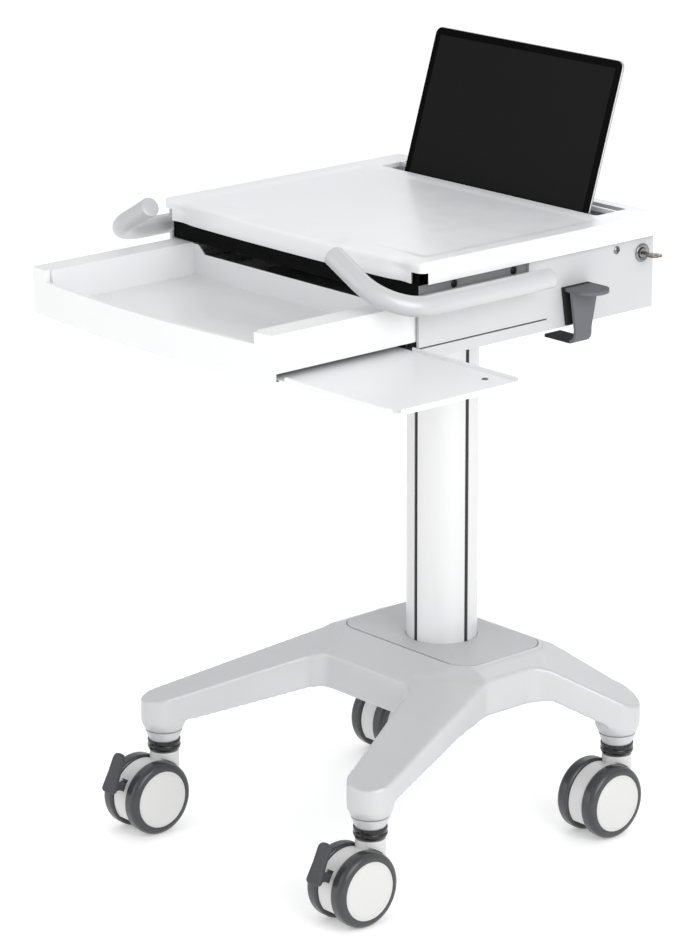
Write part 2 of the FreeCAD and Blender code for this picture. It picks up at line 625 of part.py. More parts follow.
# ------------------------------------------------------------------- housing
def side_wall(side):
    """One wall of the housing, with a window above the handle."""
    start = "housing_half - wall" if side == "right" else "-housing_half"
    panel = box(f"wall_{side}", start, "housing_front", "floor_low", "wall",
                "housing_back - housing_front", "housing_top - floor_low")
    window = box(f"window_{side}", f"{start} - 1", "housing_front - 1", "window_sill",
                 "wall + 2", "window_back - housing_front + 1", "housing_top - window_sill + 1")
    tools = [window]
    if side == "right":
        slot = new_body("tray_slot")
        profile = [(f"{start} - 1", "slot_low"), (f"{start} - 1", "slot_high"),
                   ("housing_half + 1", "slot_high"), ("housing_half + 1", "slot_low - slot_lip")]
        pad(slot, outline(slot, "slot_profile", "XZ_Plane", profile, lift="-slot_back"),
            "slot_back - housing_front + 1")
        tools.append(slot)
        tools.append(rod("lock_bore", "x", f"{start} - 1", "lock_y", "lock_z",
                         "lock_radius + seat_gap", "wall + 2"))
    return cut(f"panel_{side}", panel, *tools)


def hinge_lug(name, x):
    """An ear on the rear wall, rounded about the hinge line and bored for the pin."""
    foot = box(f"lug_foot_{name}", x, "housing_back - wall", "lug_low", "lug_width", "wall - 0.8",
               "hinge_z - lug_low")
    ear = rod(f"lug_ear_{name}", "x", x, "hinge_y", "hinge_z", "lug_round", "lug_width")
    bore = rod(f"lug_bore_{name}", "x", f"{x} - 1", "hinge_y", "hinge_z",
               "hinge_radius + seat_gap", "lug_width + 2")
    return cut(f"hinge_lug_{name}", fuse(f"lug_{name}", foot, ear), bore)


def housing():
    """The open-fronted box under the worktop."""
    pan = box("housing_floor", "-housing_half", "housing_front", "floor_low",
              "2 * housing_half", "housing_back - housing_front", "sheet")
    back = box("housing_rear", "-housing_half", "housing_back - wall", "floor_low",
               "2 * housing_half", "wall", "rear_top - floor_low")
    near = "knuckle_start - 1 - lug_width"
    far = "knuckle_start + knuckle_length + 1"
    lugs = [hinge_lug("right_near", near), hinge_lug("right_far", far),
            hinge_lug("left_near", f"-({near}) - lug_width"),
            hinge_lug("left_far", f"-({far}) - lug_width")]
    shell = fuse("housing_body", pan, back, side_wall("right"), side_wall("left"), *lugs)
    keep(shell, "housing_shell")


def laptop_deck():
    """The black shelf under the lid, with a front fascia and side flanges."""
    inside = "housing_half - wall - 0.4"
    shelf = box("deck_shelf", f"-({inside})", "housing_front + 3", "deck_low",
                f"2 * ({inside})", "housing_back - wall - housing_front - 4", "deck_thick")
    fascia = box("deck_fascia", f"-({inside})", "housing_front + 3", "deck_low",
                 f"2 * ({inside})", "deck_thick", "fascia_height")
    flanges = [box(f"deck_flange_{side}", x, "housing_front + 3", "deck_low", "deck_thick",
                   "window_back - housing_front + 10", "fascia_height / 2")
               for side, x in (("right", f"{inside} - deck_thick"), ("left", f"-({inside})"))]
    notch = box("deck_notch", "deck_notch_x", "deck_notch_y", "deck_low - 1", "50", "50",
                "deck_thick + 2")
    keep(cut("deck", fuse("deck_solid", shelf, fascia, *flanges), notch), "laptop_deck")


def handles():
    """A round bar beside the housing, bending in and up to its grip, and its twin."""
    radius, bend = number("handle_radius"), number("handle_bend")
    start = Vector(number("handle_x"), number("handle_back"), number("handle_z"))
    corner = Vector(start.x, number("handle_front"), start.z)
    grip = Vector(number("grip_x"), number("grip_y"), number("grip_z"))
    towards = (corner - start).normalize()
    away = (grip - corner).normalize()
    enter, leave = corner - towards * bend, corner + away * bend
    share = math.sqrt((1 + towards.dot(away)) / 2)
    halfway = (enter + leave) * 0.5
    middle = halfway + (corner - halfway) * (share / (1 + share))
    spine = Part.Wire([Part.LineSegment(start, enter).toShape(),
                       Part.Arc(enter, middle, leave).toShape(),
                       Part.LineSegment(leave, grip).toShape()])
    ring = Part.Wire([Part.Circle(start, towards, radius).toShape()])
    tube = spine.makePipeShell([ring], True, False, 2)
    wall_x = number("housing_half + running_gap")
    width, height = number("foot_width"), number("foot_height")
    feet = [Part.makeBox(start.x - wall_x, width, height,
                         Vector(wall_x, number(y) - width / 2, start.z - height * 0.7))
            for y in ("foot_far", "foot_near")]
    right = doc.addObject("Part::Feature", "right_handle")
    right.Shape = tube.fuse(feet).removeSplitter()
    keep(right, "handle_right")
    keep(mirrored("left_handle", right), "handle_left")


def side_screws():
    """Pan-head screws on both sides: two in each window and one behind."""
    screws = []
    for side in ("right", "left"):
        for spot, y, z, face in (("a", "foot_far", "window_sill + 5", "housing_half - wall - 0.35"),
                                 ("b", "foot_near", "window_sill + 5", "housing_half - wall - 0.35"),
                                 ("c", "slot_back + lock_y", "window_sill + 3",
                                  "housing_half + running_gap")):
            start = face if side == "right" else f"-({face}) - screw_head"
            screws.append(rod(f"screw_{side}_{spot}", "x", start, y, z, "screw_radius",
                              "screw_head"))
    keep(group("screws", *screws), "side_screws")


def cable_hook():
    """A hook on the right wall: a back plate, a tapering blade, a lip and a toe."""
    body = new_body("hook_body")
    back = "housing_half + running_gap"
    blade = "hook_out - hook_thick"
    curve = "hook_low + hook_curl"
    profile = [
        (back, "hook_foot"), (back, "hook_top"), ("hook_out", "hook_top"), ("hook_out", curve),
        ("hook_out - hook_curl", "hook_low"), ("hook_toe", "hook_low"),
        ("hook_toe", "hook_low + hook_thick"), ("hook_out - hook_curl", "hook_low + hook_thick"),
        (blade, curve), (blade, "hook_top - hook_thick"),
        (f"{back} + hook_thick", "hook_top - hook_thick"), (f"{back} + hook_thick", "hook_foot")]
    bends = {3: "-hook_curl", 7: "hook_curl - hook_thick"}
    pad(body, outline(body, "hook_profile", "XZ_Plane", profile, bends), "80", both=True)
    for place, top_y, low_y, away in (("front", "hook_front_top", "hook_front_low", "-60"),
                                      ("back", "hook_back_top", "hook_back_low", "60")):
        side = [(away, "hook_top + 1"), (top_y, "hook_top + 1"), (low_y, "hook_taper_z"),
                (low_y, "hook_low - 1"), (away, "hook_low - 1")]
        pocket(body, outline(body, f"hook_{place}", "YZ_Plane", side), "900", both=True)
    lip = [(blade, "hook_front_top"), ("lip_out", "hook_front_top"),
           ("lip_out", "hook_back_top"), (blade, "hook_back_top")]
    pad(body, outline(body, "hook_lip", "XY_Plane", lip, {1: "lip_round"},
                      lift="hook_top - hook_thick"), "hook_thick")
    keep(body, "cable_hook")


def lock():
    """A cylinder lock through the right wall, and its plug with the key in."""
    barrel = rod("lock_body", "x", "housing_half - lock_depth", "lock_y", "lock_z",
                 "lock_radius", "lock_depth + 2")
    collar = rod("lock_collar", "x", "housing_half + running_gap", "lock_y", "lock_z",
                 "collar_radius", "2.5")
    bore = rod("plug_bore", "x", "housing_half - lock_depth - 8", "lock_y", "lock_z",
               "plug_radius + running_gap", "2 * lock_depth")
    keep(cut("lock_cylinder", fuse("lock_outside", barrel, collar), bore), "lock_barrel")
    plug = rod("lock_plug", "x", "housing_half - lock_depth", "lock_y", "lock_z",
               "plug_radius", "lock_depth + 2.8")
    blade = box("key_blade", "housing_half + 2", "lock_y - blade_width / 2",
                "lock_z - key_thick / 2", "bow_start - 1", "blade_width", "key_thick")
    bow = box("key_bow", "housing_half + bow_start", "lock_y - bow_width / 2",
              "lock_z - key_thick * 0.6", "bow_length", "bow_width", "key_thick * 1.2")
    keep(fuse("plug_and_key", plug, blade, bow), "lock_plug_key")


# ------------------------------------------------------------------- worktop
def frame_corners(left, front, right, back):
    """A rectangle's corners, from its front left one."""
    return [(left, front), (right, front), (right, back), (left, back)]


def worktop_lid():
    """The hinged worktop: a shallow upside-down tray with a slot for a screen."""
    bow = "(top_half ^ 2 + top_bow ^ 2) / (2 * top_bow)"
    body = new_body("lid_body")
    plan = frame_corners("-top_half", "top_front", "top_half", "top_back")
    pad(body, outline(body, "lid_plan", "XY_Plane", plan, {0: bow}, lift="skirt_low"),
        "top_z - skirt_low")
    round_edges(body, "top_corner", lambda x, y: True)
    inner = frame_corners("-top_half + skirt", "top_front + skirt",
                          "top_half - skirt", "top_back - skirt")
    hollow = outline(body, "lid_hollow", "XY_Plane", inner, {0: bow}, lift="skirt_low - 1")
    pocket(body, hollow, "top_z - skirt_low - top_thick + 1", up=True)
    slot = frame_corners("-slot_half", "slot_front", "slot_half", "slot_rear")
    pocket(body, outline(body, "lid_slot", "XY_Plane", slot, lift="top_z + 1"),
           "top_thick + 2")
    field = frame_corners("-top_half + field_side", "top_front + field_front",
                          "top_half - field_side", "slot_front - field_back")
    pocket(body, outline(body, "lid_field", "XY_Plane", field, lift="top_z"), "field_depth")
    notches = [box(f"corner_notch_{side}", x, "top_front - 10", "skirt_low - 1", "notch_width + 10",
                   "notch_depth + 10", "notch_height + 1")
               for side, x in (("right", "top_half - notch_width"), ("left", "-top_half - 10"))]
    blocks = [box(f"knuckle_{side}", x, "hinge_y - knuckle_thick / 2",
                  "hinge_z - knuckle_thick / 2", "knuckle_length", "knuckle_thick",
                  "knuckle_top - hinge_z + knuckle_thick / 2")
              for side, x in (("right", "knuckle_start"), ("left", "-knuckle_start - knuckle_length"))]
    pin_bore = rod("knuckle_bore", "x", "-slot_half", "hinge_y", "hinge_z",
                   "hinge_radius + running_gap", "2 * slot_half")
    keep(cut("lid", fuse("lid_solid", body, *blocks), pin_bore, *notches), "worktop_lid")


def lid_hinge_pins():
    pins = [rod(f"hinge_pin_{side}", "x", x, "hinge_y", "hinge_z", "hinge_radius",
                "hinge_pin_length")
            for side, x in (("right", "hinge_pin_start"),
                            ("left", "-hinge_pin_start - hinge_pin_length"))]
    keep(group("hinge_pins", *pins), "lid_hinge_pins")


# -------------------------------------------------------------------- laptop
def laptop():
    """The computer on the shelf, with its screen standing up through the slot."""
    base = box("computer_base", "-laptop_half", "laptop_front", "laptop_low",
               "2 * laptop_half", "laptop_back - laptop_front", "laptop_thick")
    keep(base, "laptop_base")
    lean = Rotation(Vector(1, 0, 0), -number("screen_lean"))
    shell = new_body("screen_shell_body")
    outer = frame_corners("-laptop_half", "0", "laptop_half", "screen_length")
    pad(shell, outline(shell, "screen_plan", "XZ_Plane", outer, lift="-screen_thick"),
        "screen_thick")
    glass = new_body("screen_glass_body")
    inner = frame_corners("-laptop_half + glass_inset", "3", "laptop_half - glass_inset",
                          "screen_length - glass_inset")
    pad(glass, outline(glass, "glass_plan", "XZ_Plane", inner, lift="seat_gap"), "glass_thick")
    for body, label in ((shell, "laptop_screen_shell"), (glass, "laptop_screen_glass")):
        body.Placement.Rotation = lean
        bind(body, y="screen_y", z="screen_low")
        keep(body, label)


# -------------------------------------------------------------------- drawer
BOW = "(drawer_half ^ 2 + fascia_bow ^ 2) / (2 * fascia_bow)"


def drawer_tray():
    """The white drawer box: a floor, a back and two hollow side rims."""
    depth = "drawer_back - drawer_front"
    body = new_body("drawer_floor_body")
    plan = frame_corners("-rim_inner - drawer_wall", "drawer_front",
                         "rim_inner + drawer_wall", "drawer_back")
    pad(body, outline(body, "drawer_floor_plan", "XY_Plane", plan,
                      lift="drawer_floor - drawer_wall"), "drawer_wall")
    nose = new_body("drawer_nose_body")
    front = frame_corners("-drawer_half + nose_inset", "drawer_front - 3",
                          "drawer_half - nose_inset", "drawer_front + 5")
    pad(nose, outline(nose, "drawer_nose_plan", "XY_Plane", front, {0: BOW},
                      lift="drawer_floor - drawer_wall"), "drawer_wall")
    pieces = [body, nose]
    walls = {"right": ("rim_inner", "drawer_half - drawer_wall", "rim_inner"),
             "left": ("-rim_inner - drawer_wall", "-drawer_half", "-drawer_half")}
    for side, (inner, outer, top) in walls.items():
        pieces.append(box(f"rim_inner_{side}", inner, "drawer_front", "drawer_floor - drawer_wall",
                          "drawer_wall", depth, "drawer_top - drawer_floor + drawer_wall"))
        pieces.append(box(f"rim_outer_{side}", outer, "drawer_front", "drawer_side_low",
                          "drawer_wall", depth, "drawer_top - drawer_side_low"))
        pieces.append(box(f"rim_top_{side}", top, "drawer_front", "drawer_top - drawer_wall",
                          "drawer_half - rim_inner", depth, "drawer_wall"))
    rear = new_body("drawer_rear_body")
    right = [("rim_inner", "drawer_floor - 1"), ("rim_inner", "rear_high"),
             ("rear_step_out", "rear_high"), ("rear_step_in", "rear_dip")]
    pad(rear, outline(rear, "drawer_rear_profile", "XZ_Plane", both_sides(right),
                      lift="-drawer_back"), "drawer_wall")
    pieces.append(rear)
    keep(fuse("drawer_box", *pieces), "drawer_tray")


def drawer_front():
    """The bowed fascia, cut lower between its two ends."""
    seat = "drawer_front - running_gap"
    body = new_body("fascia_body")
    right = [("drawer_half", "drawer_front - fascia_thick"), ("drawer_half", seat),
             ("fascia_cut_half - 0.5", seat),
             ("fascia_cut_half - 0.5", "drawer_front - fascia_pad - 0.1")]
    plan = both_sides(right)
    plan = [plan[-1]] + plan[:-1]
    pad(body, outline(body, "fascia_plan", "XY_Plane", plan, {0: BOW, 4: f"-({BOW} - 4)"},
                      lift="fascia_low"), "drawer_top - fascia_low")
    dip = frame_corners("-fascia_cut_half", "fascia_cut", "fascia_cut_half", "drawer_top + 2")
    pocket(body, outline(body, "fascia_dip", "XZ_Plane", dip, lift="400"), "140", up=True)
    keep(body, "drawer_front")


def drawer_slides():
    """Channels fixed in the housing, and the bars on the drawer that run in them."""
    height = "rail_high - rail_low"
    channel = box("rail_block", "rail_x", "housing_front + 4", "rail_low", "rail_width",
                  "rail_length", height)
    run = box("rail_run", "rail_x - 6", "housing_front + 3", "rail_low + rail_lip",
              "rail_width + 2.3", "rail_length + 2", f"{height} - 2 * rail_lip")
    foot = box("rail_foot", "rail_foot_x", "slot_back + 4", "floor_low + sheet + running_gap",
               "rail_foot_width", "rail_foot_length", "rail_low - floor_low - sheet + 2")
    right_rail = fuse("rail_right", cut("rail_channel", channel, run), foot)
    rails = group("rails", right_rail, mirrored("rail_left", right_rail))
    keep(rails, "drawer_rails_fixed")
    bar = box("runner_bar", "rim_inner + drawer_wall + running_gap", "drawer_front + 4",
              "rail_low + rail_lip + 0.5", "runner_width", "runner_length",
              f"{height} - 2 * rail_lip - 1")
    keep(group("runners", bar, mirrored("runner_left", bar)), "drawer_runners")


def mouse_tray():
    """The pull-out tray, its carrier under the drawer, and its end-stop screw."""
    low = "tray_low - carrier_drop"
    pan = box("carrier_pan", "carrier_x", "tray_front - 2", low, "carrier_length",
              "tray_back - tray_front + 4", "tray_sheet")
    flanges = [box(f"carrier_flange_{name}", "carrier_x", y, low, "carrier_length - 1",
                   "tray_sheet", f"drawer_floor - drawer_wall - running_gap - {low}")
               for name, y in (("front", "tray_front - 2"), ("back", "tray_back + 0.5"))]
    keep(fuse("carrier", pan, *flanges), "mouse_tray_guides")

    body = new_body("tray_body")
    plan = frame_corners("tray_inner", "tray_front", "tray_outer", "tray_back")
    pad(body, outline(body, "tray_plan", "XY_Plane", plan, lift="tray_low"), "tray_sheet")
    rim = frame_corners("tray_rim_start", "tray_front", "tray_outer", "tray_back")
    pad(body, outline(body, "tray_rim_plan", "XY_Plane", rim, lift="tray_low + tray_sheet"),
        "tray_rim_top - tray_low - tray_sheet")
    tray_start = number("tray_rim_start")
    round_edges(body, "tray_corner", lambda x, y: x > tray_start + 50)
    well = frame_corners("tray_rim_start - 1", "tray_front + tray_rim",
                         "tray_outer - tray_rim", "tray_back - tray_rim")
    pocket(body, outline(body, "tray_well", "XY_Plane", well, lift="tray_rim_top + 1"),
           "tray_rim_top - tray_low - tray_sheet + 1")
    keep(body, "mouse_tray")
    keep(rod("tray_screw", "z", "tray_screw_x", "tray_screw_y",
             "tray_low + tray_sheet + running_gap", "tray_screw_radius", "1.2"),
         "mouse_tray_screw")


for code, (x, y) in CASTERS.items():
    caster(code, x, y, braked=code.startswith("f"))
base_frame()
base_cover()
caster_sockets()
column()
lift_lever()
housing()
laptop_deck()
handles()
side_screws()
cable_hook()
lock()
worktop_lid()
lid_hinge_pins()
laptop()
drawer_tray()
drawer_front()
drawer_slides()
mouse_tray()
doc.recompute()

for item in doc.Objects:
    if "Invalid" in item.State or "Error" in item.State:
        raise RuntimeError(f"{item.Name} did not build: {item.State}")
for item in parts:
    if item.Shape.isNull() or not item.Shape.isValid():
        raise RuntimeError(f"{item.Label} has no valid shape")
os.makedirs("parts", exist_ok=True)
for item in parts:
    item.Shape.exportStep(f"parts/{item.Label}.step")
print(len(parts), "sub-parts written")
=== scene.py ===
import json
import math

import bmesh
import bpy
from mathutils import Matrix, Vector


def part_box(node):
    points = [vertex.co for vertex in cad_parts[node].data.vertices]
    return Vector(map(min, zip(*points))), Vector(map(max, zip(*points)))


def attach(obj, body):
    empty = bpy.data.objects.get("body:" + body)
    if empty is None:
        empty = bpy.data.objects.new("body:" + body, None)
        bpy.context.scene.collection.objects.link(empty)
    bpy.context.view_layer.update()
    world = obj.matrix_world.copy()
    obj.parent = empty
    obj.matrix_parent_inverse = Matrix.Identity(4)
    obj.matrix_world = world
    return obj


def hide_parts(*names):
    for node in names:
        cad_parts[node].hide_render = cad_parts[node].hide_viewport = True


MM = 0.001
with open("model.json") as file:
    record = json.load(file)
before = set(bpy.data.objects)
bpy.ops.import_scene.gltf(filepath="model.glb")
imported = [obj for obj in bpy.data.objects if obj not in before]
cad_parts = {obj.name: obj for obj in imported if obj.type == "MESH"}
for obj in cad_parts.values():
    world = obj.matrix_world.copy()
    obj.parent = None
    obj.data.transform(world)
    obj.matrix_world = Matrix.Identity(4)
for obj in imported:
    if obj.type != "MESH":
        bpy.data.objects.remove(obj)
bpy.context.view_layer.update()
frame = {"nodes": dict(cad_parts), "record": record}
NODES = frame["nodes"]
BODY_OF = {node: body for body, members in frame["record"]["behaviour"]["bodies"].items()
           for node in members}
CASTERS = ("fl", "fr", "rl", "rr")
SIDES = (("left", -1), ("right", 1))


# ----------------------------------------------------------------- materials
DRIFT_SCALE, GLOSS_SCALE, WEAR_SCALE = 9.0, 35.0, 55.0
GLOSS_SPREAD = 0.05
WORN_EDGE_MM, WEAR_AMOUNT = 1.6, 0.3
RELIEF_MM = 0.3
COAT_ROUGHNESS = 0.08


def tint(colour, factor):
    """A colour made lighter or darker, with full alpha."""
    return tuple(min(1.0, c * factor) for c in colour) + (1.0,)


def finish_of(name, colour, roughness, metallic=0.0, coat=0.0, variation=0.04, grain=600.0,
              bump=0.05, wear=None, streak=(1.0, 1.0, 1.0), specular=0.5):
    """A procedural finish: drifting colour, fine grain, uneven gloss and worn edges."""
    material = bpy.data.materials.new(name)
    material.use_nodes = True
    nodes, links = material.node_tree.nodes, material.node_tree.links
    shader = nodes["Principled BSDF"]
    place = nodes.new("ShaderNodeTexCoord")
    stretch = nodes.new("ShaderNodeMapping")
    stretch.inputs["Scale"].default_value = streak
    links.new(place.outputs["Object"], stretch.inputs["Vector"])

    def noise(scale, detail):
        node = nodes.new("ShaderNodeTexNoise")
        node.inputs["Scale"].default_value = scale
        node.inputs["Detail"].default_value = detail
        links.new(stretch.outputs["Vector"], node.inputs["Vector"])
        return node

    def ramp(source, stops):
        node = nodes.new("ShaderNodeValToRGB")
        for point, (at, value) in zip(node.color_ramp.elements, stops):
            point.position = at
            point.color = value
        links.new(source, node.inputs["Fac"])
        return node

    def grey(value):
        return (value, value, value, 1.0)

    drift = noise(DRIFT_SCALE, 3.0)
    fine = noise(grain, 2.0)
    base = ramp(drift.outputs["Fac"], [(0.3, tint(colour, 1 - variation)),
                                       (0.7, tint(colour, 1 + variation))])
    surface = base.outputs["Color"]
    if wear:
        worn = nodes.new("ShaderNodeBevel")
        worn.samples = 3
        worn.inputs["Radius"].default_value = WORN_EDGE_MM * MM
        geometry = nodes.new("ShaderNodeNewGeometry")
        flat = nodes.new("ShaderNodeVectorMath")
        flat.operation = "DOT_PRODUCT"
        links.new(worn.outputs["Normal"], flat.inputs[0])
        links.new(geometry.outputs["Normal"], flat.inputs[1])
        edge = ramp(flat.outputs["Value"], [(0.80, grey(WEAR_AMOUNT)), (0.97, grey(0.0))])
        patchy = nodes.new("ShaderNodeMath")
        patchy.operation = "MULTIPLY"
        links.new(edge.outputs["Color"], patchy.inputs[0])
        links.new(noise(WEAR_SCALE, 4.0).outputs["Fac"], patchy.inputs[1])
        mix = nodes.new("ShaderNodeMix")
        mix.data_type = "RGBA"
        links.new(patchy.outputs["Value"], mix.inputs["Factor"])
        links.new(surface, mix.inputs["A"])
        mix.inputs["B"].default_value = tuple(wear) + (1.0,)
        surface = mix.outputs["Result"]
    gloss = ramp(noise(GLOSS_SCALE, 4.0).outputs["Fac"],
                 [(0.25, grey(roughness - GLOSS_SPREAD)), (0.75, grey(roughness + GLOSS_SPREAD))])
    relief = nodes.new("ShaderNodeBump")
    relief.inputs["Strength"].default_value = bump
    relief.inputs["Distance"].default_value = RELIEF_MM * MM
    links.new(fine.outputs["Fac"], relief.inputs["Height"])
    links.new(surface, shader.inputs["Base Color"])
    links.new(gloss.outputs["Color"], shader.inputs["Roughness"])
    links.new(relief.outputs["Normal"], shader.inputs["Normal"])
    shader.inputs["Metallic"].default_value = metallic
    shader.inputs["Coat Weight"].default_value = coat
    shader.inputs["Coat Roughness"].default_value = COAT_ROUGHNESS
    shader.inputs["Specular IOR Level"].default_value = specular
    return material


def paint_shade_within(material, reach_along, limit, colour):
    """Paint shade: darken the base colour within limit (mm) of the origin, measured along some
    axes only.
    """
    nodes, links = material.node_tree.nodes, material.node_tree.links
    shader = nodes["Principled BSDF"]
    place = nodes.new("ShaderNodeTexCoord")
    flat = nodes.new("ShaderNodeVectorMath")
    flat.operation = "MULTIPLY"
    flat.inputs[1].default_value = reach_along
    links.new(place.outputs["Object"], flat.inputs[0])
    reach = nodes.new("ShaderNodeVectorMath")
    reach.operation = "LENGTH"
    links.new(flat.outputs["Vector"], reach.inputs[0])
    inside = nodes.new("ShaderNodeMath")
    inside.operation = "LESS_THAN"
    inside.inputs[1].default_value = limit * MM
    links.new(reach.outputs["Value"], inside.inputs[0])
    mix = nodes.new("ShaderNodeMix")
    mix.data_type = "RGBA"
    links.new(inside.outputs["Value"], mix.inputs["Factor"])
    links.new(shader.inputs["Base Color"].links[0].from_socket, mix.inputs["A"])
    mix.inputs["B"].default_value = colour + (1.0,)
    links.new(mix.outputs["Result"], shader.inputs["Base Color"])


FINISH = {
    "worktop_white": finish_of("worktop_white", (0.82, 0.825, 0.84), 0.34, coat=0.12,
                               variation=0.006, grain=150, bump=0.02),
    "tray_white": finish_of("tray_white", (0.79, 0.795, 0.80), 0.34, coat=0.15,
                            variation=0.008, grain=150, bump=0.02),
    "panel_paint": finish_of("panel_paint", (0.50, 0.505, 0.515), 0.45, variation=0.015,
                             grain=900, bump=0.12, wear=(0.75, 0.75, 0.77)),
    "base_paint": finish_of("base_paint", (0.53, 0.535, 0.55), 0.36, metallic=0.15, coat=0.15,
                            variation=0.015, grain=1200, bump=0.04, wear=(0.68, 0.68, 0.70)),
    "cover_plastic": finish_of("cover_plastic", (0.48, 0.485, 0.495), 0.52, variation=0.03,
                               grain=1500, bump=0.35),
    "column_aluminium": finish_of("column_aluminium", (0.69, 0.69, 0.695), 0.34, metallic=0.2,
                                  variation=0.01, bump=0.06, streak=(1.0, 1.0, 0.04)),
    "inner_steel": finish_of("inner_steel", (0.55, 0.56, 0.58), 0.28, metallic=0.9,
                             streak=(1.0, 1.0, 0.04), bump=0.05),
    "black_steel": finish_of("black_steel", (0.010, 0.010, 0.011), 0.42, variation=0.15,
                             grain=1400, bump=0.25, wear=(0.05, 0.05, 0.05), specular=0.25),
    "bright_steel": finish_of("bright_steel", (0.20, 0.20, 0.205), 0.24, metallic=1.0,
                              bump=0.04),
    "black_plastic": finish_of("black_plastic", (0.016, 0.016, 0.017), 0.38, variation=0.12,
                               grain=1200, bump=0.25, specular=0.3),
    "deck_black": finish_of("deck_black", (0.0010, 0.0010, 0.0011), 0.45, variation=0.2,
                            grain=1400, bump=0.15, specular=0.04),
    "handle_paint": finish_of("handle_paint", (0.50, 0.51, 0.525), 0.32, metallic=0.10,
                              coat=0.1, variation=0.012, grain=90, bump=0.002),
    "hook_plastic": finish_of("hook_plastic", (0.125, 0.13, 0.14), 0.60, variation=0.06,
                              grain=1100, bump=0.25, wear=(0.21, 0.21, 0.22),
                              specular=0.12),
    "lock_chrome": finish_of("lock_chrome", (0.26, 0.26, 0.26), 0.16, metallic=1.0, bump=0.02),
    "key_metal": finish_of("key_metal", (0.20, 0.17, 0.14), 0.28, metallic=1.0,
                           variation=0.10, bump=0.08, wear=(0.65, 0.6, 0.5)),
    "caster_white": finish_of("caster_white", (0.60, 0.60, 0.595), 0.36, coat=0.1,
                              variation=0.015, grain=900, bump=0.06),
    "tyre_grey": finish_of("tyre_grey", (0.038, 0.039, 0.042), 0.30, coat=0.25, variation=0.08,
                           grain=700, bump=0.10, wear=(0.11, 0.11, 0.115), specular=0.4),
    "ring_black": finish_of("ring_black", (0.012, 0.012, 0.013), 0.24, coat=0.2, variation=0.1,
                            bump=0.06, specular=0.3),
    "pedal_plastic": finish_of("pedal_plastic", (0.052, 0.053, 0.058), 0.50, variation=0.05,
                               grain=1300, bump=0.30, specular=0.35),
    "laptop_shell": finish_of("laptop_shell", (0.50, 0.50, 0.51), 0.34, metallic=0.9,
                              variation=0.008, grain=2000, bump=0.03),
    "screen_glass": finish_of("screen_glass", (0.0006, 0.0006, 0.0007), 0.20, variation=0.1,
                              bump=0.0, specular=0.03),
    "screen_pixels": finish_of("screen_pixels", (0.0068, 0.0068, 0.0068), 0.25,
                               variation=0.03, bump=0.0, specular=0.05),
}


FLANGE = finish_of("flange_paint", (0.20, 0.205, 0.215), 0.50, variation=0.015, grain=900,
                   bump=0.12, specular=0.3)


# ---------------------------------------------------------------- mesh tools
def bake(obj):
    """Replace the object's mesh by the result of its modifiers."""
    graph = bpy.context.evaluated_depsgraph_get()
    mesh = bpy.data.meshes.new_from_object(obj.evaluated_get(graph))
    obj.modifiers.clear()
    obj.data = mesh
    return obj


def add(obj, kind, **settings):
    """Give the object a modifier with the settings named."""
    modifier = obj.modifiers.new(kind, kind)
    for name, value in settings.items():
        setattr(modifier, name, value)


def loose(name, bm):
    """An object holding a bmesh, in the scene but not yet part of the cart."""
    bmesh.ops.recalc_face_normals(bm, faces=bm.faces)
    mesh = bpy.data.meshes.new(name)
    bm.to_mesh(mesh)
    bm.free()
    obj = bpy.data.objects.new(name, mesh)
    bpy.context.scene.collection.objects.link(obj)
    return obj


def seat(obj, body, slot, stands_for=(), material=None):
    """Give a piece its finish and let it ride on a body."""
    obj.data.materials.clear()
    obj.data.materials.append(material or FINISH[slot])
    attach(obj, body)
    if stands_for:
        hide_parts(*stands_for)
    return obj


def soften(obj, width, segments=3, angle=32):
    """Round the edges by width (mm) and shade smoothly between them."""
    if width:
        add(obj, "BEVEL", width=width * MM, segments=segments, limit_method="ANGLE",
            angle_limit=math.radians(angle), use_clamp_overlap=True)
    obj.data.shade_smooth()
    add(obj, "WEIGHTED_NORMAL", keep_sharp=False, weight=60)
    return bake(obj)


def carve(obj, cutter):
    """Cut one loose object with another, which is then removed."""
    add(obj, "BOOLEAN", object=cutter, operation="DIFFERENCE", solver="EXACT")
    bake(obj)
    if not obj.data.vertices:
        raise RuntimeError(f"{obj.name} is empty after {cutter.name}")
    bpy.data.objects.remove(cutter)


def welded(node):
    """A bmesh of a CAD node with its seams joined and its flat faces whole."""
    bm = bmesh.new()
    bm.from_mesh(NODES[node].data)
    bmesh.ops.remove_doubles(bm, verts=bm.verts, dist=0.004 * MM)
    bmesh.ops.dissolve_limit(bm, angle_limit=math.radians(0.4), verts=bm.verts,
                             edges=bm.edges)
    return bm


def dress(node, slot, width, segments=3, angle=32):
    """A CAD node's shape with moulded or broken edges."""
    obj = soften(loose(node + "_dressed", welded(node)), width, segments, angle)
    return seat(obj, BODY_OF[node], slot, [node])


def loft(rings, cap=True):
    """A bmesh through successive rings of equally many points (mm)."""
    bm = bmesh.new()
    rows = [[bm.verts.new(Vector(point) * MM) for point in ring] for ring in rings]
    count = len(rings[0])
    for low, high in zip(rows, rows[1:]):
        for i in range(count):
            j = (i + 1) % count
            bm.faces.new((low[i], low[j], high[j], high[i]))
    if cap:
        bm.faces.new(list(reversed(rows[0])))
        bm.faces.new(rows[-1])
    return bm


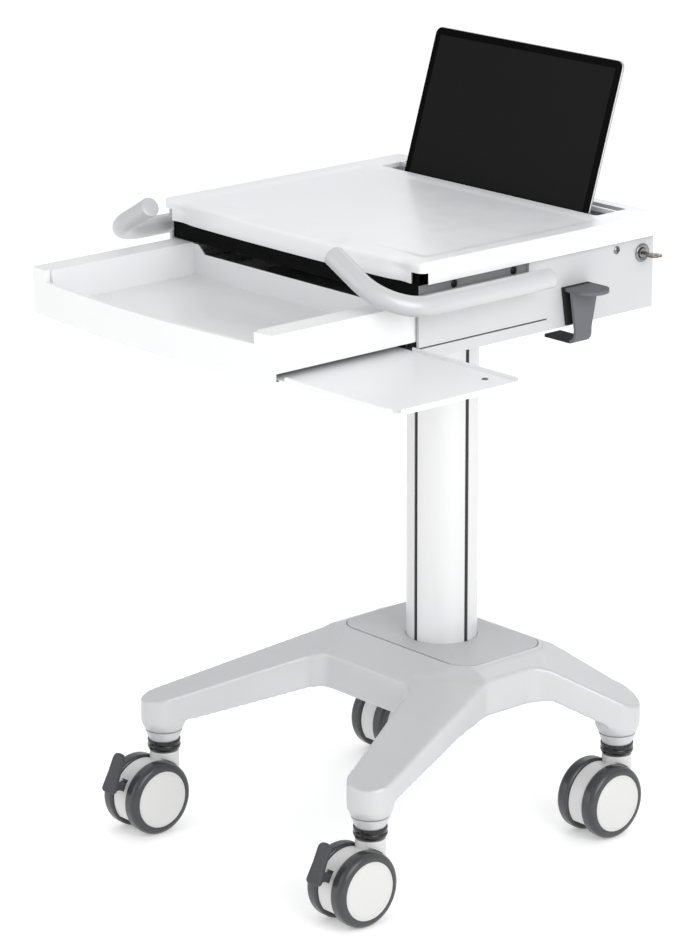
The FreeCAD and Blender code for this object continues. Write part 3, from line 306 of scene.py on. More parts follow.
def rounded(corners, radii, steps=6):
    """A closed plan outline with its corners turned into arcs."""
    points = []
    count = len(corners)
    for i, corner in enumerate(corners):
        radius = radii[i] if isinstance(radii, (list, tuple)) else radii
        here = Vector(corner)
        back = (Vector(corners[i - 1]) - here).normalized()
        ahead = (Vector(corners[(i + 1) % count]) - here).normalized()
        half = math.acos(max(-1.0, min(1.0, back.dot(ahead)))) / 2
        if not radius or half > 1.5:
            points.append(tuple(here))
            continue
        centre = here + (back + ahead).normalized() * (radius / math.sin(half))
        first = here + back * (radius / math.tan(half)) - centre
        last = here + ahead * (radius / math.tan(half)) - centre
        turn = first.angle_signed(last)
        for step in range(steps + 1):
            angle = -turn * step / steps
            swung = Vector((first.x * math.cos(angle) - first.y * math.sin(angle),
                            first.x * math.sin(angle) + first.y * math.cos(angle)))
            points.append(tuple(centre + swung))
    return points


def prism(name, outline, low, high, width=0.0):
    """A plan outline raised from low to high, with softened edges."""
    bm = loft([[(x, y, z) for x, y in outline] for z in (low, high)])
    obj = loose(name, bm)
    return soften(obj, width) if width else obj


def oblong(x0, y0, x1, y1):
    """The corners of a rectangle, in order round it."""
    return [(x0, y0), (x1, y0), (x1, y1), (x0, y1)]


def lathe(name, profile, axis, centre, mirror=1, steps=64):
    """A profile of (along, radius) pairs turned about an axis through centre (mm)."""
    bm = bmesh.new()
    cx, cy, cz = centre
    rows = []
    for along, radius in profile:
        ring = []
        for i in range(steps if radius > 1e-6 else 1):
            angle = 2 * math.pi * i / steps
            a, b = radius * math.cos(angle), radius * math.sin(angle)
            point = {"x": (cx + mirror * along, cy + a, cz + b),
                     "z": (cx + a, cy + b, cz + along)}[axis]
            ring.append(bm.verts.new(Vector(point) * MM))
        rows.append(ring)
    for low, high in zip(rows, rows[1:]):
        for i in range(steps):
            j = (i + 1) % steps
            corners = [low[i % len(low)], low[j % len(low)], high[j % len(high)],
                       high[i % len(high)]]
            unique = list(dict.fromkeys(corners))
            if len(unique) > 2:
                bm.faces.new(unique)
    obj = loose(name, bm)
    obj.data.shade_smooth()
    return obj


def centre_of(node):
    """The middle of a CAD node's box (mm)."""
    low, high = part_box(node)
    return tuple((low + high) / 2 / MM)


# ------------------------------------------------------------------- casters
TYRE = rounded([(12.6, 37.6), (12.6, 48.0), (32.5, 48.0), (32.9, 37.6)],
               [0.5, 4.5, 8.0, 0.6], steps=8)
CAP = [(27.5, 37.5), (32.2, 37.5), (32.9, 37.0), (33.1, 36.2), (32.8, 35.5), (32.2, 35.0),
       (32.3, 34.4), (32.7, 33.8), (33.0, 30.0), (33.3, 20.0), (33.5, 10.0), (33.5, 0.0)]
WELL = [(27.5, 4.1), (13.6, 4.1), (13.1, 4.8), (13.1, 13.4), (13.8, 14.2), (19.5, 17.0),
        (19.5, 31.0), (13.8, 33.6), (13.1, 34.4), (13.1, 36.8), (13.8, 37.5), (27.5, 37.5)]
RING = [(0.0, 6.2), (0.0, 17.6), (0.4, 19.2), (1.6, 20.5), (3.2, 21.2), (6.8, 21.4),
        (7.4, 21.0), (7.9, 20.7), (8.6, 20.7), (9.2, 21.0), (14.2, 21.3), (15.0, 21.0),
        (15.2, 20.5), (14.6, 20.1), (12.6, 19.9), (12.6, 6.2)]
RING_DROP, RING_SQUEEZE = 12.2, 0.94
COLLAR = [(0.1, 6.1), (0.1, 18.4), (0.6, 19.2), (2.6, 19.7), (5.0, 20.6), (14.2, 23.9),
          (14.45, 23.6), (14.45, 6.1), (0.1, 6.1)]


def wheels(code):
    """Two tyres, and two capped hubs inside them."""
    for side, sign in SIDES:
        hub, tyre = f"caster_{code}_hub_{side}", f"caster_{code}_tyre_{side}"
        cx = centre_of(f"caster_{code}_axle")[0]
        _, cy, cz = centre_of(tyre)
        centre = (cx, cy, cz)
        rubber = lathe(tyre + "_turned", TYRE + TYRE[:1], "x", centre, sign, steps=96)
        seat(rubber, BODY_OF[tyre], "tyre_grey", [tyre])
        disc = lathe(hub + "_turned", WELL + CAP[1:], "x", centre, sign, steps=80)
        seat(disc, BODY_OF[hub], "caster_white", [hub])


def swivel(code):
    """The turned ring on the kingpin, its collar under the leg, the hood and the axle."""
    stem = f"caster_{code}_stem"
    low, high = (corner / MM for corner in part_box(stem))
    x, y, _ = centre_of(stem)
    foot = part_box("caster_sockets")[0].z / MM
    ring = [(foot - RING_DROP + along * RING_SQUEEZE, radius) for along, radius in RING]
    pin = [(low.z, 0.0), (low.z, 6.0)]
    top = [(high.z - 1, 6.0), (high.z, 5.0), (high.z, 0.0)]
    turned = lathe(stem + "_turned", pin + ring + top, "z", (x, y, 0), steps=72)
    turned.data.set_sharp_from_angle(angle=math.radians(40))
    seat(turned, BODY_OF[stem], "ring_black", [stem])
    collar = lathe(f"caster_{code}_collar", COLLAR, "z", (x, y, foot), steps=72)
    collar.data.set_sharp_from_angle(angle=math.radians(50))
    seat(collar, "base", "base_paint", ["caster_sockets"] if code == "fl" else ())
    dress(f"caster_{code}_housing", "caster_white", 1.2)
    dress(f"caster_{code}_axle", "bright_steel", 0.4)


PLATE = rounded([(-12.0, 0.0), (12.0, 0.0), (9.4, 26.0), (9.0, 53.0), (-9.0, 53.0),
                 (-9.4, 26.0)], [5.0, 5.0, 60.0, 8.0, 8.0, 60.0], steps=8)
PLATE_HALF_WIDTH, PLATE_WAIST, PLATE_SHRINK = 12.0, 26.0, 27.0
PLATE_LAYERS = ((5.0, 1.1), (3.4, 0.6), (1.5, 0.0), (0.5, 0.4), (0.0, 1.6), (0.0, 5.6),
                (0.6, 7.0), (2.0, 7.8))
PLATE_TILT = 24.0
PEDAL_PIN = [(-10.5, 0.0), (-10.5, 2.1), (-10.1, 2.5), (10.1, 2.5), (10.5, 2.1), (10.5, 0.0)]


def pedal(code):
    """A waisted foot plate, dished across its face, on an arm that turns on a pin."""
    node = f"caster_{code}_brake_pedal"
    x, y, z = centre_of(f"caster_{code}_axle")
    rings = []
    for inset, depth in PLATE_LAYERS:
        share = 1 - inset / PLATE_HALF_WIDTH
        rings.append([(px * share, depth,
                       PLATE_WAIST + (pz - PLATE_WAIST) * (1 - inset / PLATE_SHRINK))
                      for px, pz in PLATE])
    plate = loose(node + "_plate", loft(rings))
    plate.data.shade_smooth()
    plate.data.set_sharp_from_angle(angle=math.radians(50))
    plate.data.transform(Matrix.Translation(Vector((x, y - 66.0, z + 18.0)) * MM)
                         @ Matrix.Rotation(-math.radians(PLATE_TILT), 4, "X"))
    seat(plate, BODY_OF[node], "pedal_plastic", [node])
    arm = prism(node + "_arm", oblong(x - 5.5, y - 58.0, x + 5.5, y - 33.8), z + 17.2, z + 24.8,
                1.6)
    seat(arm, BODY_OF[node], "pedal_plastic")
    pin = lathe(node + "_pin", PEDAL_PIN, "x", (x, y - 34.0, z + 21.0), steps=32)
    seat(pin, BODY_OF[node], "pedal_plastic")


for code in CASTERS:
    wheels(code)
    swivel(code)
for code in CASTERS[:2]:
    pedal(code)


# ---------------------------------------------------------------------- base
VOXEL_MM, QUICK_VOXEL_MM = 2.2, 4.0
SMOOTHING, QUICK_SMOOTHING = 9, 4
FILLER_LOW, BORE_LOW, BORE_HIGH = 226, 180, 260
RECESS_MARGIN, FILLER_MARGIN, RECESS_CLEARANCE = 1, 4, 0.4


def base_casting():
    """The cast star: edges melted round, then the recess for the cover cut sharp."""
    low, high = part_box("base_cover")
    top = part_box("base_frame")[1].z / MM
    x, y = high.x / MM, high.y / MM
    obj = loose("base_frame_cast", welded("base_frame"))
    wide, deep = x + FILLER_MARGIN, y + FILLER_MARGIN
    filler = prism("filler", rounded(oblong(-wide, -deep, wide, deep), 30), FILLER_LOW, top)
    joined = bmesh.new()
    joined.from_mesh(obj.data)
    joined.from_mesh(filler.data)
    joined.to_mesh(obj.data)
    joined.free()
    bpy.data.objects.remove(filler)
    voxel = VOXEL_MM
    add(obj, "REMESH", mode="VOXEL", voxel_size=voxel * MM)
    add(obj, "SMOOTH", factor=0.5, iterations=SMOOTHING)
    bake(obj)
    wide, deep = x + RECESS_MARGIN, y + RECESS_MARGIN
    recess = prism("recess", rounded(oblong(-wide, -deep, wide, deep), 31, steps=10),
                   low.z / MM - RECESS_CLEARANCE, top + 20)
    carve(obj, recess)
    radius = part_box("column_outer")[1].x / MM + 0.1
    profile = [(BORE_LOW, 0), (BORE_LOW, radius), (BORE_HIGH, radius), (BORE_HIGH, 0)]
    bore = lathe("bore", profile, "z", (0, 0, 0), steps=96)
    carve(obj, bore)
    obj.data.shade_smooth()
    add(obj, "WEIGHTED_NORMAL", keep_sharp=False, weight=60)
    bake(obj)
    obj.data.set_sharp_from_angle(angle=math.radians(50))
    seat(obj, "base", "base_paint", ["base_frame"])


base_casting()
dress("base_cover", "cover_plastic", 0.7)


# -------------------------------------------------------------------- column
# Painted shade: the column's T-slot walls, inside its outer round, get a darker grey that stands
# in for the shadow in the slots.
GROOVE_MARGIN, GROOVE_PAINTED_SHADE = 1.0, (0.17, 0.17, 0.175)
paint_shade_within(FINISH["column_aluminium"], (1.0, 1.0, 0.0),
             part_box("column_outer")[1].x / MM - GROOVE_MARGIN, GROOVE_PAINTED_SHADE)
dress("column_outer", "column_aluminium", 0.8, angle=40)
for node, slot, width in (("column_glides", "black_plastic", 0.6),
                          ("column_inner", "inner_steel", 0.4),
                          ("gas_spring_cylinder", "black_steel", 0.8),
                          ("gas_spring_rod", "bright_steel", 0.4),
                          ("column_head_plate", "black_steel", 0.8),
                          ("lift_lever", "black_plastic", 1.6),
                          ("lid_hinge_pins", "bright_steel", 0.3),
                          ("drawer_rails_fixed", "inner_steel", 0.4),
                          ("drawer_runners", "inner_steel", 0.4),
                          ("mouse_tray_guides", "black_steel", 0.3)):
    dress(node, slot, width)


# ------------------------------------------------------------------- housing
WALL_INSIDE, WALL_FACE = 225, 231.45
FLANGE_INSIDE, FLANGE_FACE, FLANGE_SCREWED = 226.8, 227.2, 227.1
LIP_BELOW, LIP_ABOVE, GAP_BELOW, GAP_ABOVE = 6, 4, 0.25, 1.8


def housing():
    """The folded housing, its tray slot drawn in to a hair over the tray's thickness."""
    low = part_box("mouse_tray")[0] / MM
    bm = welded("housing_shell")
    for vert in bm.verts:
        x, z = vert.co.x / MM, vert.co.z / MM
        if x > WALL_INSIDE and low.z - LIP_BELOW < z < low.z:
            vert.co.z = (low.z - GAP_BELOW) * MM
        elif x > WALL_INSIDE and low.z < z < low.z + LIP_ABOVE:
            vert.co.z = (low.z + GAP_ABOVE) * MM
    seat(soften(loose("housing_folded", bm), 0.4), "lift", "panel_paint", ["housing_shell"])


housing()
dress("laptop_deck", "deck_black", 0.5)
for side, sign in SIDES:
    x0, x1 = sorted((sign * FLANGE_INSIDE, sign * FLANGE_FACE))
    skin = prism(f"deck_flange_paint_{side}", oblong(x0, -250.5, x1, -62.5), 770.0, 787.2)
    seat(skin, "lift", "panel_paint", material=FLANGE)


BAR_STEPS = 48


def bar(name, path, radius, ends, body, slot, stands_for):
    """A round bar along a path; ends are (rim rounding, dome) in mm for each end."""
    points = [Vector(p) for p in path]

    def end_cap(rim, dome):
        turns = (0.0, 0.35, 0.7, 1.05, 1.4)
        cap = [(radius - rim * (1 - math.cos(a)), dome + rim * math.sin(a)) for a in turns]
        cap += [((radius - rim) * share, dome * (1 - share ** 2) + dome + rim)
                for share in (0.8, 0.5, 0.2, 0.02)]
        return [(size, push - 2 * dome - rim) for size, push in cap]

    head = end_cap(*ends[0])[::-1]
    tail = end_cap(*ends[1])
    spans = [(points[0], points[1] - points[0], size, -push) for size, push in head]
    for i in range(1, len(points) - 1):
        spans.append((points[i], points[i + 1] - points[i - 1], radius, 0.0))
    spans += [(points[-1], points[-1] - points[-2], size, push) for size, push in tail]
    side = (points[1] - points[0]).orthogonal().normalized()
    rings = []
    for point, direction, size, push in spans:
        direction = direction.normalized()
        side = (side - direction * side.dot(direction)).normalized()
        other = direction.cross(side)
        middle = point + direction * push
        rings.append([tuple(middle + (side * math.cos(t) + other * math.sin(t)) * size)
                      for t in (2 * math.pi * n / BAR_STEPS for n in range(BAR_STEPS))])
    obj = loose(name, loft(rings))
    obj.data.shade_smooth()
    return seat(obj, body, slot, stands_for)


STRAIGHT_STEPS, ARC_STEPS, GRIP_STEPS = 8, 20, 6


def arc_path(start, bend, tangent, end):
    """From start towards bend, round it, and on to end."""
    start, bend, end = Vector(start), Vector(bend), Vector(end)
    enter = bend + (start - bend).normalized() * tangent
    leave = bend + (end - bend).normalized() * tangent
    path = [start.lerp(enter, i / STRAIGHT_STEPS) for i in range(STRAIGHT_STEPS)]
    half = (enter - bend).angle(leave - bend) / 2
    centre = bend + ((enter - bend) + (leave - bend)).normalized() * (tangent / math.cos(half))
    a, b = enter - centre, leave - centre
    sweep = a.angle(b)
    for i in range(ARC_STEPS + 1):
        t = i / ARC_STEPS
        path.append(centre + (a * math.sin((1 - t) * sweep) + b * math.sin(t * sweep))
                    / math.sin(sweep))
    path += [leave.lerp(end, i / GRIP_STEPS) for i in range(1, GRIP_STEPS + 1)]
    return path


BAR_REACH, BAR_Z, BAR_RADIUS = 266.3, 774.8, 12.4
BAR_REAR_Y, BAR_BEND_Y, BAR_BEND = -72, -329.5, 60
GRIP_REACH, GRIP_Y, GRIP_Z = 168.2, -333.4, 828.5
BAR_ENDS = ((3.5, 0.4), (1.6, 1.0))
SCREW_YS = {"a": -97, "b": -194}
FOOT_END, FOOT_HALF, FOOT_LOW, FOOT_HIGH = 262.0, 9, 767.9, 777.7


def handles():
    """A bent bar on each side, with a seam near the grip's end and two feet."""
    for side, sign in SIDES:
        node = "handle_" + side
        path = arc_path((sign * BAR_REACH, BAR_REAR_Y, BAR_Z),
                        (sign * BAR_REACH, BAR_BEND_Y, BAR_Z), BAR_BEND,
                        (sign * GRIP_REACH, GRIP_Y, GRIP_Z))
        bar(node + "_bent", path, BAR_RADIUS, BAR_ENDS, "lift", "handle_paint", [node])
        rim = BAR_RADIUS + 0.18
        band = rounded([(-1.0, 6), (-1.0, rim), (1.0, rim), (1.0, 6)], [0, 0.6, 0.6, 0])
        seam = lathe(node + "_cap", band, "z", (0, 0, 0), steps=48)
        ahead = (path[-1] - path[-2]).normalized()
        turn = ahead.to_track_quat("Z", "Y").to_matrix().to_4x4()
        seam.data.transform(Matrix.Translation((path[-1] - ahead * 5) * MM) @ turn)
        seat(seam, "lift", "handle_paint")
        x0, x1 = sorted((sign * 231.5, sign * FOOT_END))
        for spot, y in (("far", SCREW_YS["a"]), ("near", SCREW_YS["b"])):
            plan = oblong(x0, y - FOOT_HALF, x1, y + FOOT_HALF)
            foot = prism(f"{node}_foot_{spot}", plan, FOOT_LOW, FOOT_HIGH, 1.2)
            seat(foot, "lift", "handle_paint")


handles()


def screw(name, centre, facing, radius, height, body, slot):
    """A domed screw head with a cross recess; facing is +1 or -1 along X, or 0 for up."""
    profile = [(0, 0), (0, radius), (height * 0.35, radius), (height * 0.75, radius * 0.82),
               (height, radius * 0.45), (height, 0)]
    x, y, z = centre
    head = lathe(name, profile, "x" if facing else "z", centre, facing or 1, steps=32)
    long, thin, deep = radius * 0.6, radius * 0.14, height * 0.7
    for half_a, half_b in ((long, thin), (thin, long)):
        if facing:
            xs = sorted((x + facing * (height - deep), x + facing * (height + 1)))
            cross = prism("cross", oblong(xs[0], y - half_a, xs[1], y + half_a),
                          z - half_b, z + half_b)
        else:
            cross = prism("cross", oblong(x - half_a, y - half_b, x + half_a, y + half_b),
                          z + height - deep, z + height + 1)
        carve(head, cross)
    head.data.set_sharp_from_angle(angle=math.radians(40))
    return seat(head, body, slot)


SIDE_SCREWS = (("a", FLANGE_SCREWED, SCREW_YS["a"], 781, "black_steel"),
               ("b", FLANGE_SCREWED, SCREW_YS["b"], 781, "black_steel"),
               ("c", WALL_FACE, 74, 779, "bright_steel"))
SIDE_SCREW_RADIUS, SIDE_SCREW_HEIGHT = 5.0, 1.9


def screws():
    """Three screws on each side, and the one in the mouse tray."""
    for side, sign in SIDES:
        for spot, x, y, z, slot in SIDE_SCREWS:
            screw(f"side_screw_{side}_{spot}", (sign * x, y, z), sign,
                              SIDE_SCREW_RADIUS, SIDE_SCREW_HEIGHT, "lift", slot)
    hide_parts("side_screws")
    x, y, z = centre_of("mouse_tray_screw")
    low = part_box("mouse_tray_screw")[0].z / MM
    tray_screw = screw("mouse_tray_screw_head", (x, y, low), 0, 4.0, 1.2, "mouse_tray_body",
                       "bright_steel")
    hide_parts("mouse_tray_screw")


screws()
# Painted shade: the hook's back plate and toe, within 239 mm of the middle, turn near-black for
# the shadow they lie in against the panel and under the housing. The rest keeps the hook's own
# dark grey.
HOOK_PAINTED_SHADE_REACH, HOOK_PAINTED_SHADE = 239.0, (0.022, 0.022, 0.024)
paint_shade_within(FINISH["hook_plastic"], (1.0, 0.0, 0.0), HOOK_PAINTED_SHADE_REACH, HOOK_PAINTED_SHADE)
dress("cable_hook", "hook_plastic", 1.3, segments=4)


def lock():
    """The lock's turned rim, the plug that turns in it, and the key in the plug."""
    _, y, z = centre_of("lock_barrel")
    rim = [(-12.5, 6.1), (-12.5, 9.4), (0.0, 9.5), (0.05, 11.2), (0.9, 11.6), (1.9, 11.2),
           (2.5, 10.0), (2.3, 8.6), (1.6, 7.6), (1.6, 6.1), (-12.5, 6.1)]
    barrel = lathe("lock_barrel_turned", rim, "x", (WALL_FACE, y, z), steps=64)
    seat(barrel, "lift", "lock_chrome", ["lock_barrel"])
    face = [(-20.0, 0), (-20.0, 6.0), (2.2, 6.0), (2.9, 5.4), (2.9, 0)]
    plug = lathe("lock_plug", face, "x", (WALL_FACE, y, z), steps=48)
    slit = prism("slit", oblong(233.0, y - 4.8, 240, y + 4.8), z - 1.3, z + 1.3)
    carve(plug, slit)
    plug.data.set_sharp_from_angle(angle=math.radians(40))
    seat(plug, "key", "lock_chrome")
    blade = prism("key_blade", oblong(233.5, y - 4, 246, y + 4), z - 0.9, z + 0.9, 0.5)
    seat(blade, "key", "key_metal")
    outline = rounded([(244, y - 5), (248, y - 9), (258, y - 9), (261.3, y - 5),
                       (261.3, y + 5), (258, y + 9), (248, y + 9), (244, y + 5)], 3.0)
    bow = prism("key_bow", outline, z - 1.15, z + 1.15)
    hole = lathe("hole", [(-3, 0), (-3, 2.6), (3, 2.6), (3, 0)], "z", (255.5, y, z), steps=24)
    carve(bow, hole)
    soften(bow, 0.4)
    seat(bow, "key", "key_metal", ["lock_plug_key"])


lock()


# ----------------------------------------------------------------- worktop
def steps_from_edge(limit, coarse, stop):
    """Distances from an edge: close together at first, doubled at stop, then even."""
    near = [0.0, 0.2, 0.7, 1.5, 2.6, 4.0, 5.5, 7.5, stop - 0.1, stop + 0.1, stop + 5.0]
    count = int((limit - near[-1]) / coarse)
    return near + [near[-1] + (limit - near[-1]) * (i + 1) / count for i in range(count)]


def ease(value):
    """A smooth step from 0 to 1."""
    value = max(0.0, min(1.0, value))
    return value * value * (3 - 2 * value)


class Worktop:
    """Dimensions of the lid (mm): plan, rounding, sunken field, openings and levels."""
    half, front, back, bow, corner, edge = 240.0, -257.0, 145.0, 6.5, 9.0, 4.0
    field = (-212.0, -227.0, 212.0, 54.0)
    opening = (96.0, 72.0)
    notch = (221.6, -247.0, 804.5)
    depth = 1.3
    slot, slot_radius = (-197, 72, 197, 107), 4
    trough, trough_radius = (-196, 110.5, 196, 126), 4
    cut_low, cut_high = 780, 830
    skirt = (808.0, 804.0, 800.0)
    ceiling = 810.6
    dent_x, dent_y, dent_z = 203, -262, 812


def plan_point(x, y):
    """Bend a rectangle's point to the worktop's plan: bowed front, round corners."""
    w = Worktop
    r = w.corner
    for sx in (-1, 1):
        for sy, edge_y in ((-1, w.front), (1, w.back)):
            s = (sx * x - (w.half - r)) / r
            t = (sy * (y - edge_y) + r) / r
            if s > 0 and t > 0:
                x = sx * (w.half - r + r * s * math.sqrt(1 - t * t / 2))
                y = edge_y + sy * (-r + r * t * math.sqrt(1 - s * s / 2))
                return x, y - bowed(x, y)
    return x, y - bowed(x, y)


def bowed(x, y):
    """How far the front's bow pushes a plan point forward."""
    w = Worktop
    share = max(0.0, (w.back - y) / (w.back - w.front))
    return w.bow * (1 - (x / w.half) ** 2) * share ** 4


def worktop_height(x, y, inward):
    """The top's height over a plan point that lies inward of the edge."""
    w = Worktop
    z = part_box("worktop_lid")[1].z / MM
    if inward < w.edge:
        z -= w.edge - math.sqrt(max(0.0, w.edge ** 2 - (w.edge - inward) ** 2))
    x0, y0, x1, y1 = w.field
    inside = min(x - x0, x1 - x, y - y0, y1 - y)
    wide, narrow = w.opening
    reach = wide + (narrow - wide) * max(0.0, min(1.0, (y - w.front) / (y0 - w.front)))
    mouth = min(reach - abs(x), y0 + 20 - y)
    z -= w.depth * max(ease((inside + 4) / 7), ease((mouth + 1.5) / 4))
    return z


def thumb_dent(point):
    """Press shallow thumb scoops into the two front corners."""
    w = Worktop
    x, y, z = point
    pull = math.exp(-((abs(x) - w.dent_x) / 13) ** 2 - ((y - w.dent_y) / 10) ** 2
                    - ((z - w.dent_z) / 9) ** 2)
    return (x, y + 3.2 * pull, z - 2.6 * pull)


def worktop():
    """The lid: a shallow moulded tray upside down, open for the screen behind."""
    w = Worktop
    across = steps_from_edge(w.half, 7.0, w.half - w.notch[0])
    xs = [-w.half + d for d in across] + [w.half - d for d in reversed(across[:-1])]
    deep = steps_from_edge((w.back - w.front) / 2, 5.0, w.notch[1] - w.front)
    ys = [w.front + d for d in deep] + [w.back - d for d in reversed(deep[:-1])]
    bm = bmesh.new()
    grid = []
    for y in ys:
        row = []
        for x in xs:
            px, py = plan_point(x, y)
            inward = min(w.half - abs(x), y - w.front, w.back - y)
            point = (px, py, worktop_height(px, py, inward))
            row.append(bm.verts.new(Vector(thumb_dent(point)) * MM))
        grid.append(row)
    for low, high in zip(grid, grid[1:]):
        for i in range(len(xs) - 1):
            bm.faces.new((low[i], low[i + 1], high[i + 1], high[i]))
    rim = (grid[0] + [row[-1] for row in grid[1:-1]] + list(reversed(grid[-1]))
           + [row[0] for row in reversed(grid[1:-1])])
    flat = ([(x, ys[0]) for x in xs] + [(xs[-1], y) for y in ys[1:-1]]
            + [(x, ys[-1]) for x in reversed(xs)] + [(xs[0], y) for y in reversed(ys[1:-1])])
    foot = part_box("worktop_lid")[0].z / MM
    levels = [(0.0, z) for z in w.skirt]
    levels += [(0.0, foot + 0.9), (0.4, foot + 0.2), (1.0, foot), (3.2, foot),
               (4.0, foot + 0.8), (4.0, w.ceiling)]
    previous = rim
    plan = [tuple(v.co / MM) for v in rim]
    for inset, z in levels:
        ring = []
        for (x, y, _), (flat_x, flat_y) in zip(plan, flat):
            cornered = abs(flat_x) > w.notch[0] and flat_y < w.notch[1]
            height = max(z, w.notch[2]) if cornered else z
            point = (x * (1 - inset / w.half), y * (1 - inset / 200.0), height)
            if inset < 1.0:
                point = thumb_dent(point)
            ring.append(bm.verts.new(Vector(point) * MM))
        for i in range(len(rim)):
            j = (i + 1) % len(rim)
            bm.faces.new((previous[i], previous[j], ring[j], ring[i]))
        previous = ring
    bm.faces.new(previous)
    lid = loose("worktop_lid_moulded", bm)
    for name, plan, radius in (("slot", w.slot, w.slot_radius),
                               ("trough", w.trough, w.trough_radius)):
        carve(lid, prism(name, rounded(oblong(*plan), radius), w.cut_low, w.cut_high))
    lid.data.shade_smooth()
    lid.data.set_sharp_from_angle(angle=math.radians(42))
    seat(lid, "lid", "worktop_white", ["worktop_lid"])
    # The channel and floor line the cable trough. Their grey cover-plastic colour is painted
    # shade, standing in for the shadow down in the trough.
    channel = loose("worktop_trough", loft([
        [(x, y, z) for x, y in rounded(oblong(-195.9 + g, 110.6 + g, 195.9 - g, 125.9 - g), r)]
        for g, r, z in ((0, 3.9, 816.2), (0, 3.9, 805.0), (0.8, 3.2, 804.2), (1.6, 2.4, 804.2),
                        (1.6, 2.4, 805.5), (1.6, 2.4, 806.0), (1.6, 2.4, 816.2))], cap=False))
    floor = prism("worktop_trough_floor", rounded(oblong(-195, 111.5, 195, 125), 3), 804.3,
                  805.6)
    for part in (channel, floor):
        part.data.set_sharp_from_angle(angle=math.radians(40))
        seat(part, "lid", "cover_plastic")
    for side, sign in SIDES:
        x0, x1 = sorted((sign * 73, sign * 119))
        knuckle = prism(f"worktop_knuckle_{side}", oblong(x0, 134.8, x1, 141.8), 794.3, 812.0,
                        2.2)
        seat(knuckle, "lid", "worktop_white")


worktop()


# -------------------------------------------------------------------- laptop
SCREEN_FOOT, SCREEN_LEAN = (0, 79, 785), 17.5
SCREEN_HALF, SCREEN_LENGTH, LENS_HEIGHT = 168.7, 220, 215


def laptop():
    """The computer's base, and a screen of four thin pieces that lean back together."""
    dress("laptop_base", "laptop_shell", 2.5, segments=4)
    lean = Matrix.Rotation(-math.radians(SCREEN_LEAN), 4, "X")
    foot = Vector(SCREEN_FOOT) * MM
    place = Matrix.Translation(foot) @ lean

    def slab(name, inset, radius, back, front, width, slot, stands_for=(), bottom=0.0,
             material=None):
        half = SCREEN_HALF - inset
        outline = rounded(oblong(-half, bottom, half, SCREEN_LENGTH - inset),
                          [2.0, 2.0, radius, radius], steps=10)
        bm = loft([[(x, y, z) for x, z in outline] for y in (back, front)])
        obj = soften(loose(name, bm), width)
        obj.data.transform(place)
        return seat(obj, "screen", slot, stands_for, material)

    slab("laptop_screen_back", 0.0, 10.0, 4.0, 0.35, 1.0, "laptop_shell",
         ["laptop_screen_shell"])
    slab("laptop_screen_front", 0.9, 9.2, 0.45, -1.0, 0.3, "screen_glass",
         ["laptop_screen_glass"], bottom=3.0)
    slab("laptop_screen_display", 10.5, 1.5, -0.9, -1.04, 0.0, "screen_glass", bottom=14.0,
         material=FINISH["screen_pixels"])
    lens = lathe("laptop_camera", [(0.0, 0.0), (0.0, 1.5), (0.12, 1.3), (0.12, 0.0)], "z",
                 (0, 0, 0), steps=20)
    lens.data.transform(place @ Matrix.Translation(Vector((0, -1.0, LENS_HEIGHT)) * MM)
                        @ Matrix.Rotation(math.radians(90), 4, "X"))
    seat(lens, "screen", "screen_glass", material=FINISH["screen_pixels"])


laptop()


# -------------------------------------------------------------------- drawer
RIM_INSIDE, RIM_OUTSIDE, RIM_LOW, RIM_HIGH = 193.0, 224.5, 722.0, 764.8
RIM_END_Y, RIM_END_THICK = -466.9, 1.0
dress("drawer_tray", "tray_white", 0.5)
dress("drawer_front", "tray_white", 0.8)
for side, sign in SIDES:
    x0, x1 = sorted((sign * RIM_INSIDE, sign * RIM_OUTSIDE))
    plan = oblong(x0, RIM_END_Y - RIM_END_THICK, x1, RIM_END_Y)
    seat(prism(f"drawer_rim_end_{side}", plan, RIM_LOW, RIM_HIGH), "drawer", "tray_white")
dress("mouse_tray", "tray_white", 0.6)


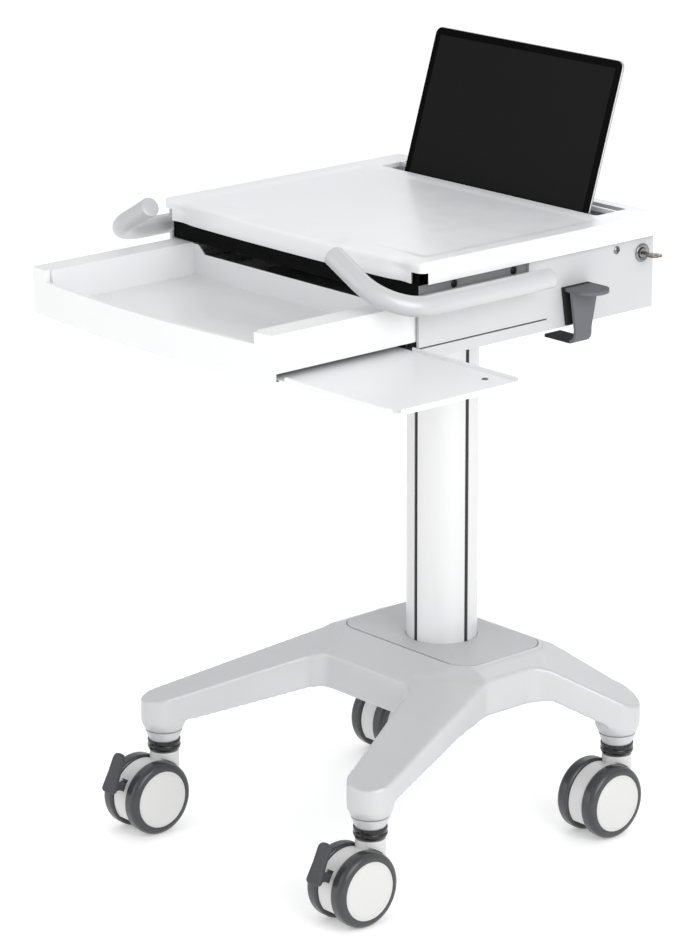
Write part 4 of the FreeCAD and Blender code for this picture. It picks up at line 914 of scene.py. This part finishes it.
# --------------------------------------------------------------------- stage
WORLD_LIGHT, WORLD_SEEN, FLOOR_GLOW, FLOOR_HALF = 0.80, 1.05, 0.27, 30.0
LAMPS = (("key_light", 46, 2.0, (2.7, -0.5, 1.7), (0, -0.1, 0.5)),
         ("fill_light", 24, 3.0, (-1.6, -3.4, 1.5), (0, -0.1, 0.5)),
         ("rear_light", 12, 2.0, (-1.5, 2.5, 2.4), (0, 0, 0.6)))
CAMERA_PLACE, CAMERA_AHEAD = (3.3479, -3.1156, 1.8441), (-0.7170, 0.6335, -0.2907)
CAMERA_ROLL, CAMERA_LENS = -0.17, 141.54


def studio():
    """A pale floor and world, three soft lights and the camera."""
    scene = bpy.context.scene
    scene.view_settings.view_transform = "Standard"
    world = bpy.data.worlds.new("studio")
    scene.world = world
    world.use_nodes = True
    background = world.node_tree.nodes["Background"]
    background.inputs["Color"].default_value = (1.0, 1.0, 1.0, 1.0)
    seen = world.node_tree.nodes.new("ShaderNodeLightPath")
    level = world.node_tree.nodes.new("ShaderNodeMapRange")
    level.inputs["To Min"].default_value = WORLD_LIGHT
    level.inputs["To Max"].default_value = WORLD_SEEN
    world.node_tree.links.new(seen.outputs["Is Camera Ray"], level.inputs["Value"])
    world.node_tree.links.new(level.outputs["Result"], background.inputs["Strength"])

    plate = bmesh.new()
    bmesh.ops.create_grid(plate, x_segments=1, y_segments=1, size=FLOOR_HALF)
    floor = loose("studio_floor", plate)
    ground = finish_of("studio_floor", (0.93, 0.93, 0.93), 0.6, variation=0.004, bump=0.0)
    glow = ground.node_tree.nodes["Principled BSDF"]
    glow.inputs["Emission Color"].default_value = (1.0, 1.0, 1.0, 1.0)
    glow.inputs["Emission Strength"].default_value = FLOOR_GLOW
    floor.data.materials.append(ground)

    for name, energy, size, place, target in LAMPS:
        data = bpy.data.lights.new(name, "AREA")
        data.energy = energy
        data.size = size
        obj = bpy.data.objects.new(name, data)
        obj.location = place
        aim = Vector(target) - Vector(place)
        obj.rotation_euler = aim.to_track_quat("-Z", "Y").to_euler()
        scene.collection.objects.link(obj)

    data = bpy.data.cameras.new("view")
    data.sensor_width = 36.0
    data.lens = CAMERA_LENS
    data.clip_end = 100.0
    camera = bpy.data.objects.new("view", data)
    ahead = Vector(CAMERA_AHEAD).normalized()
    roll = Matrix.Rotation(math.radians(CAMERA_ROLL), 4, "Z")
    camera.matrix_world = (Matrix.Translation(CAMERA_PLACE)
                           @ ahead.to_track_quat("-Z", "Y").to_matrix().to_4x4() @ roll)
    scene.collection.objects.link(camera)
    scene.camera = camera


studio()
bpy.context.view_layer.update()
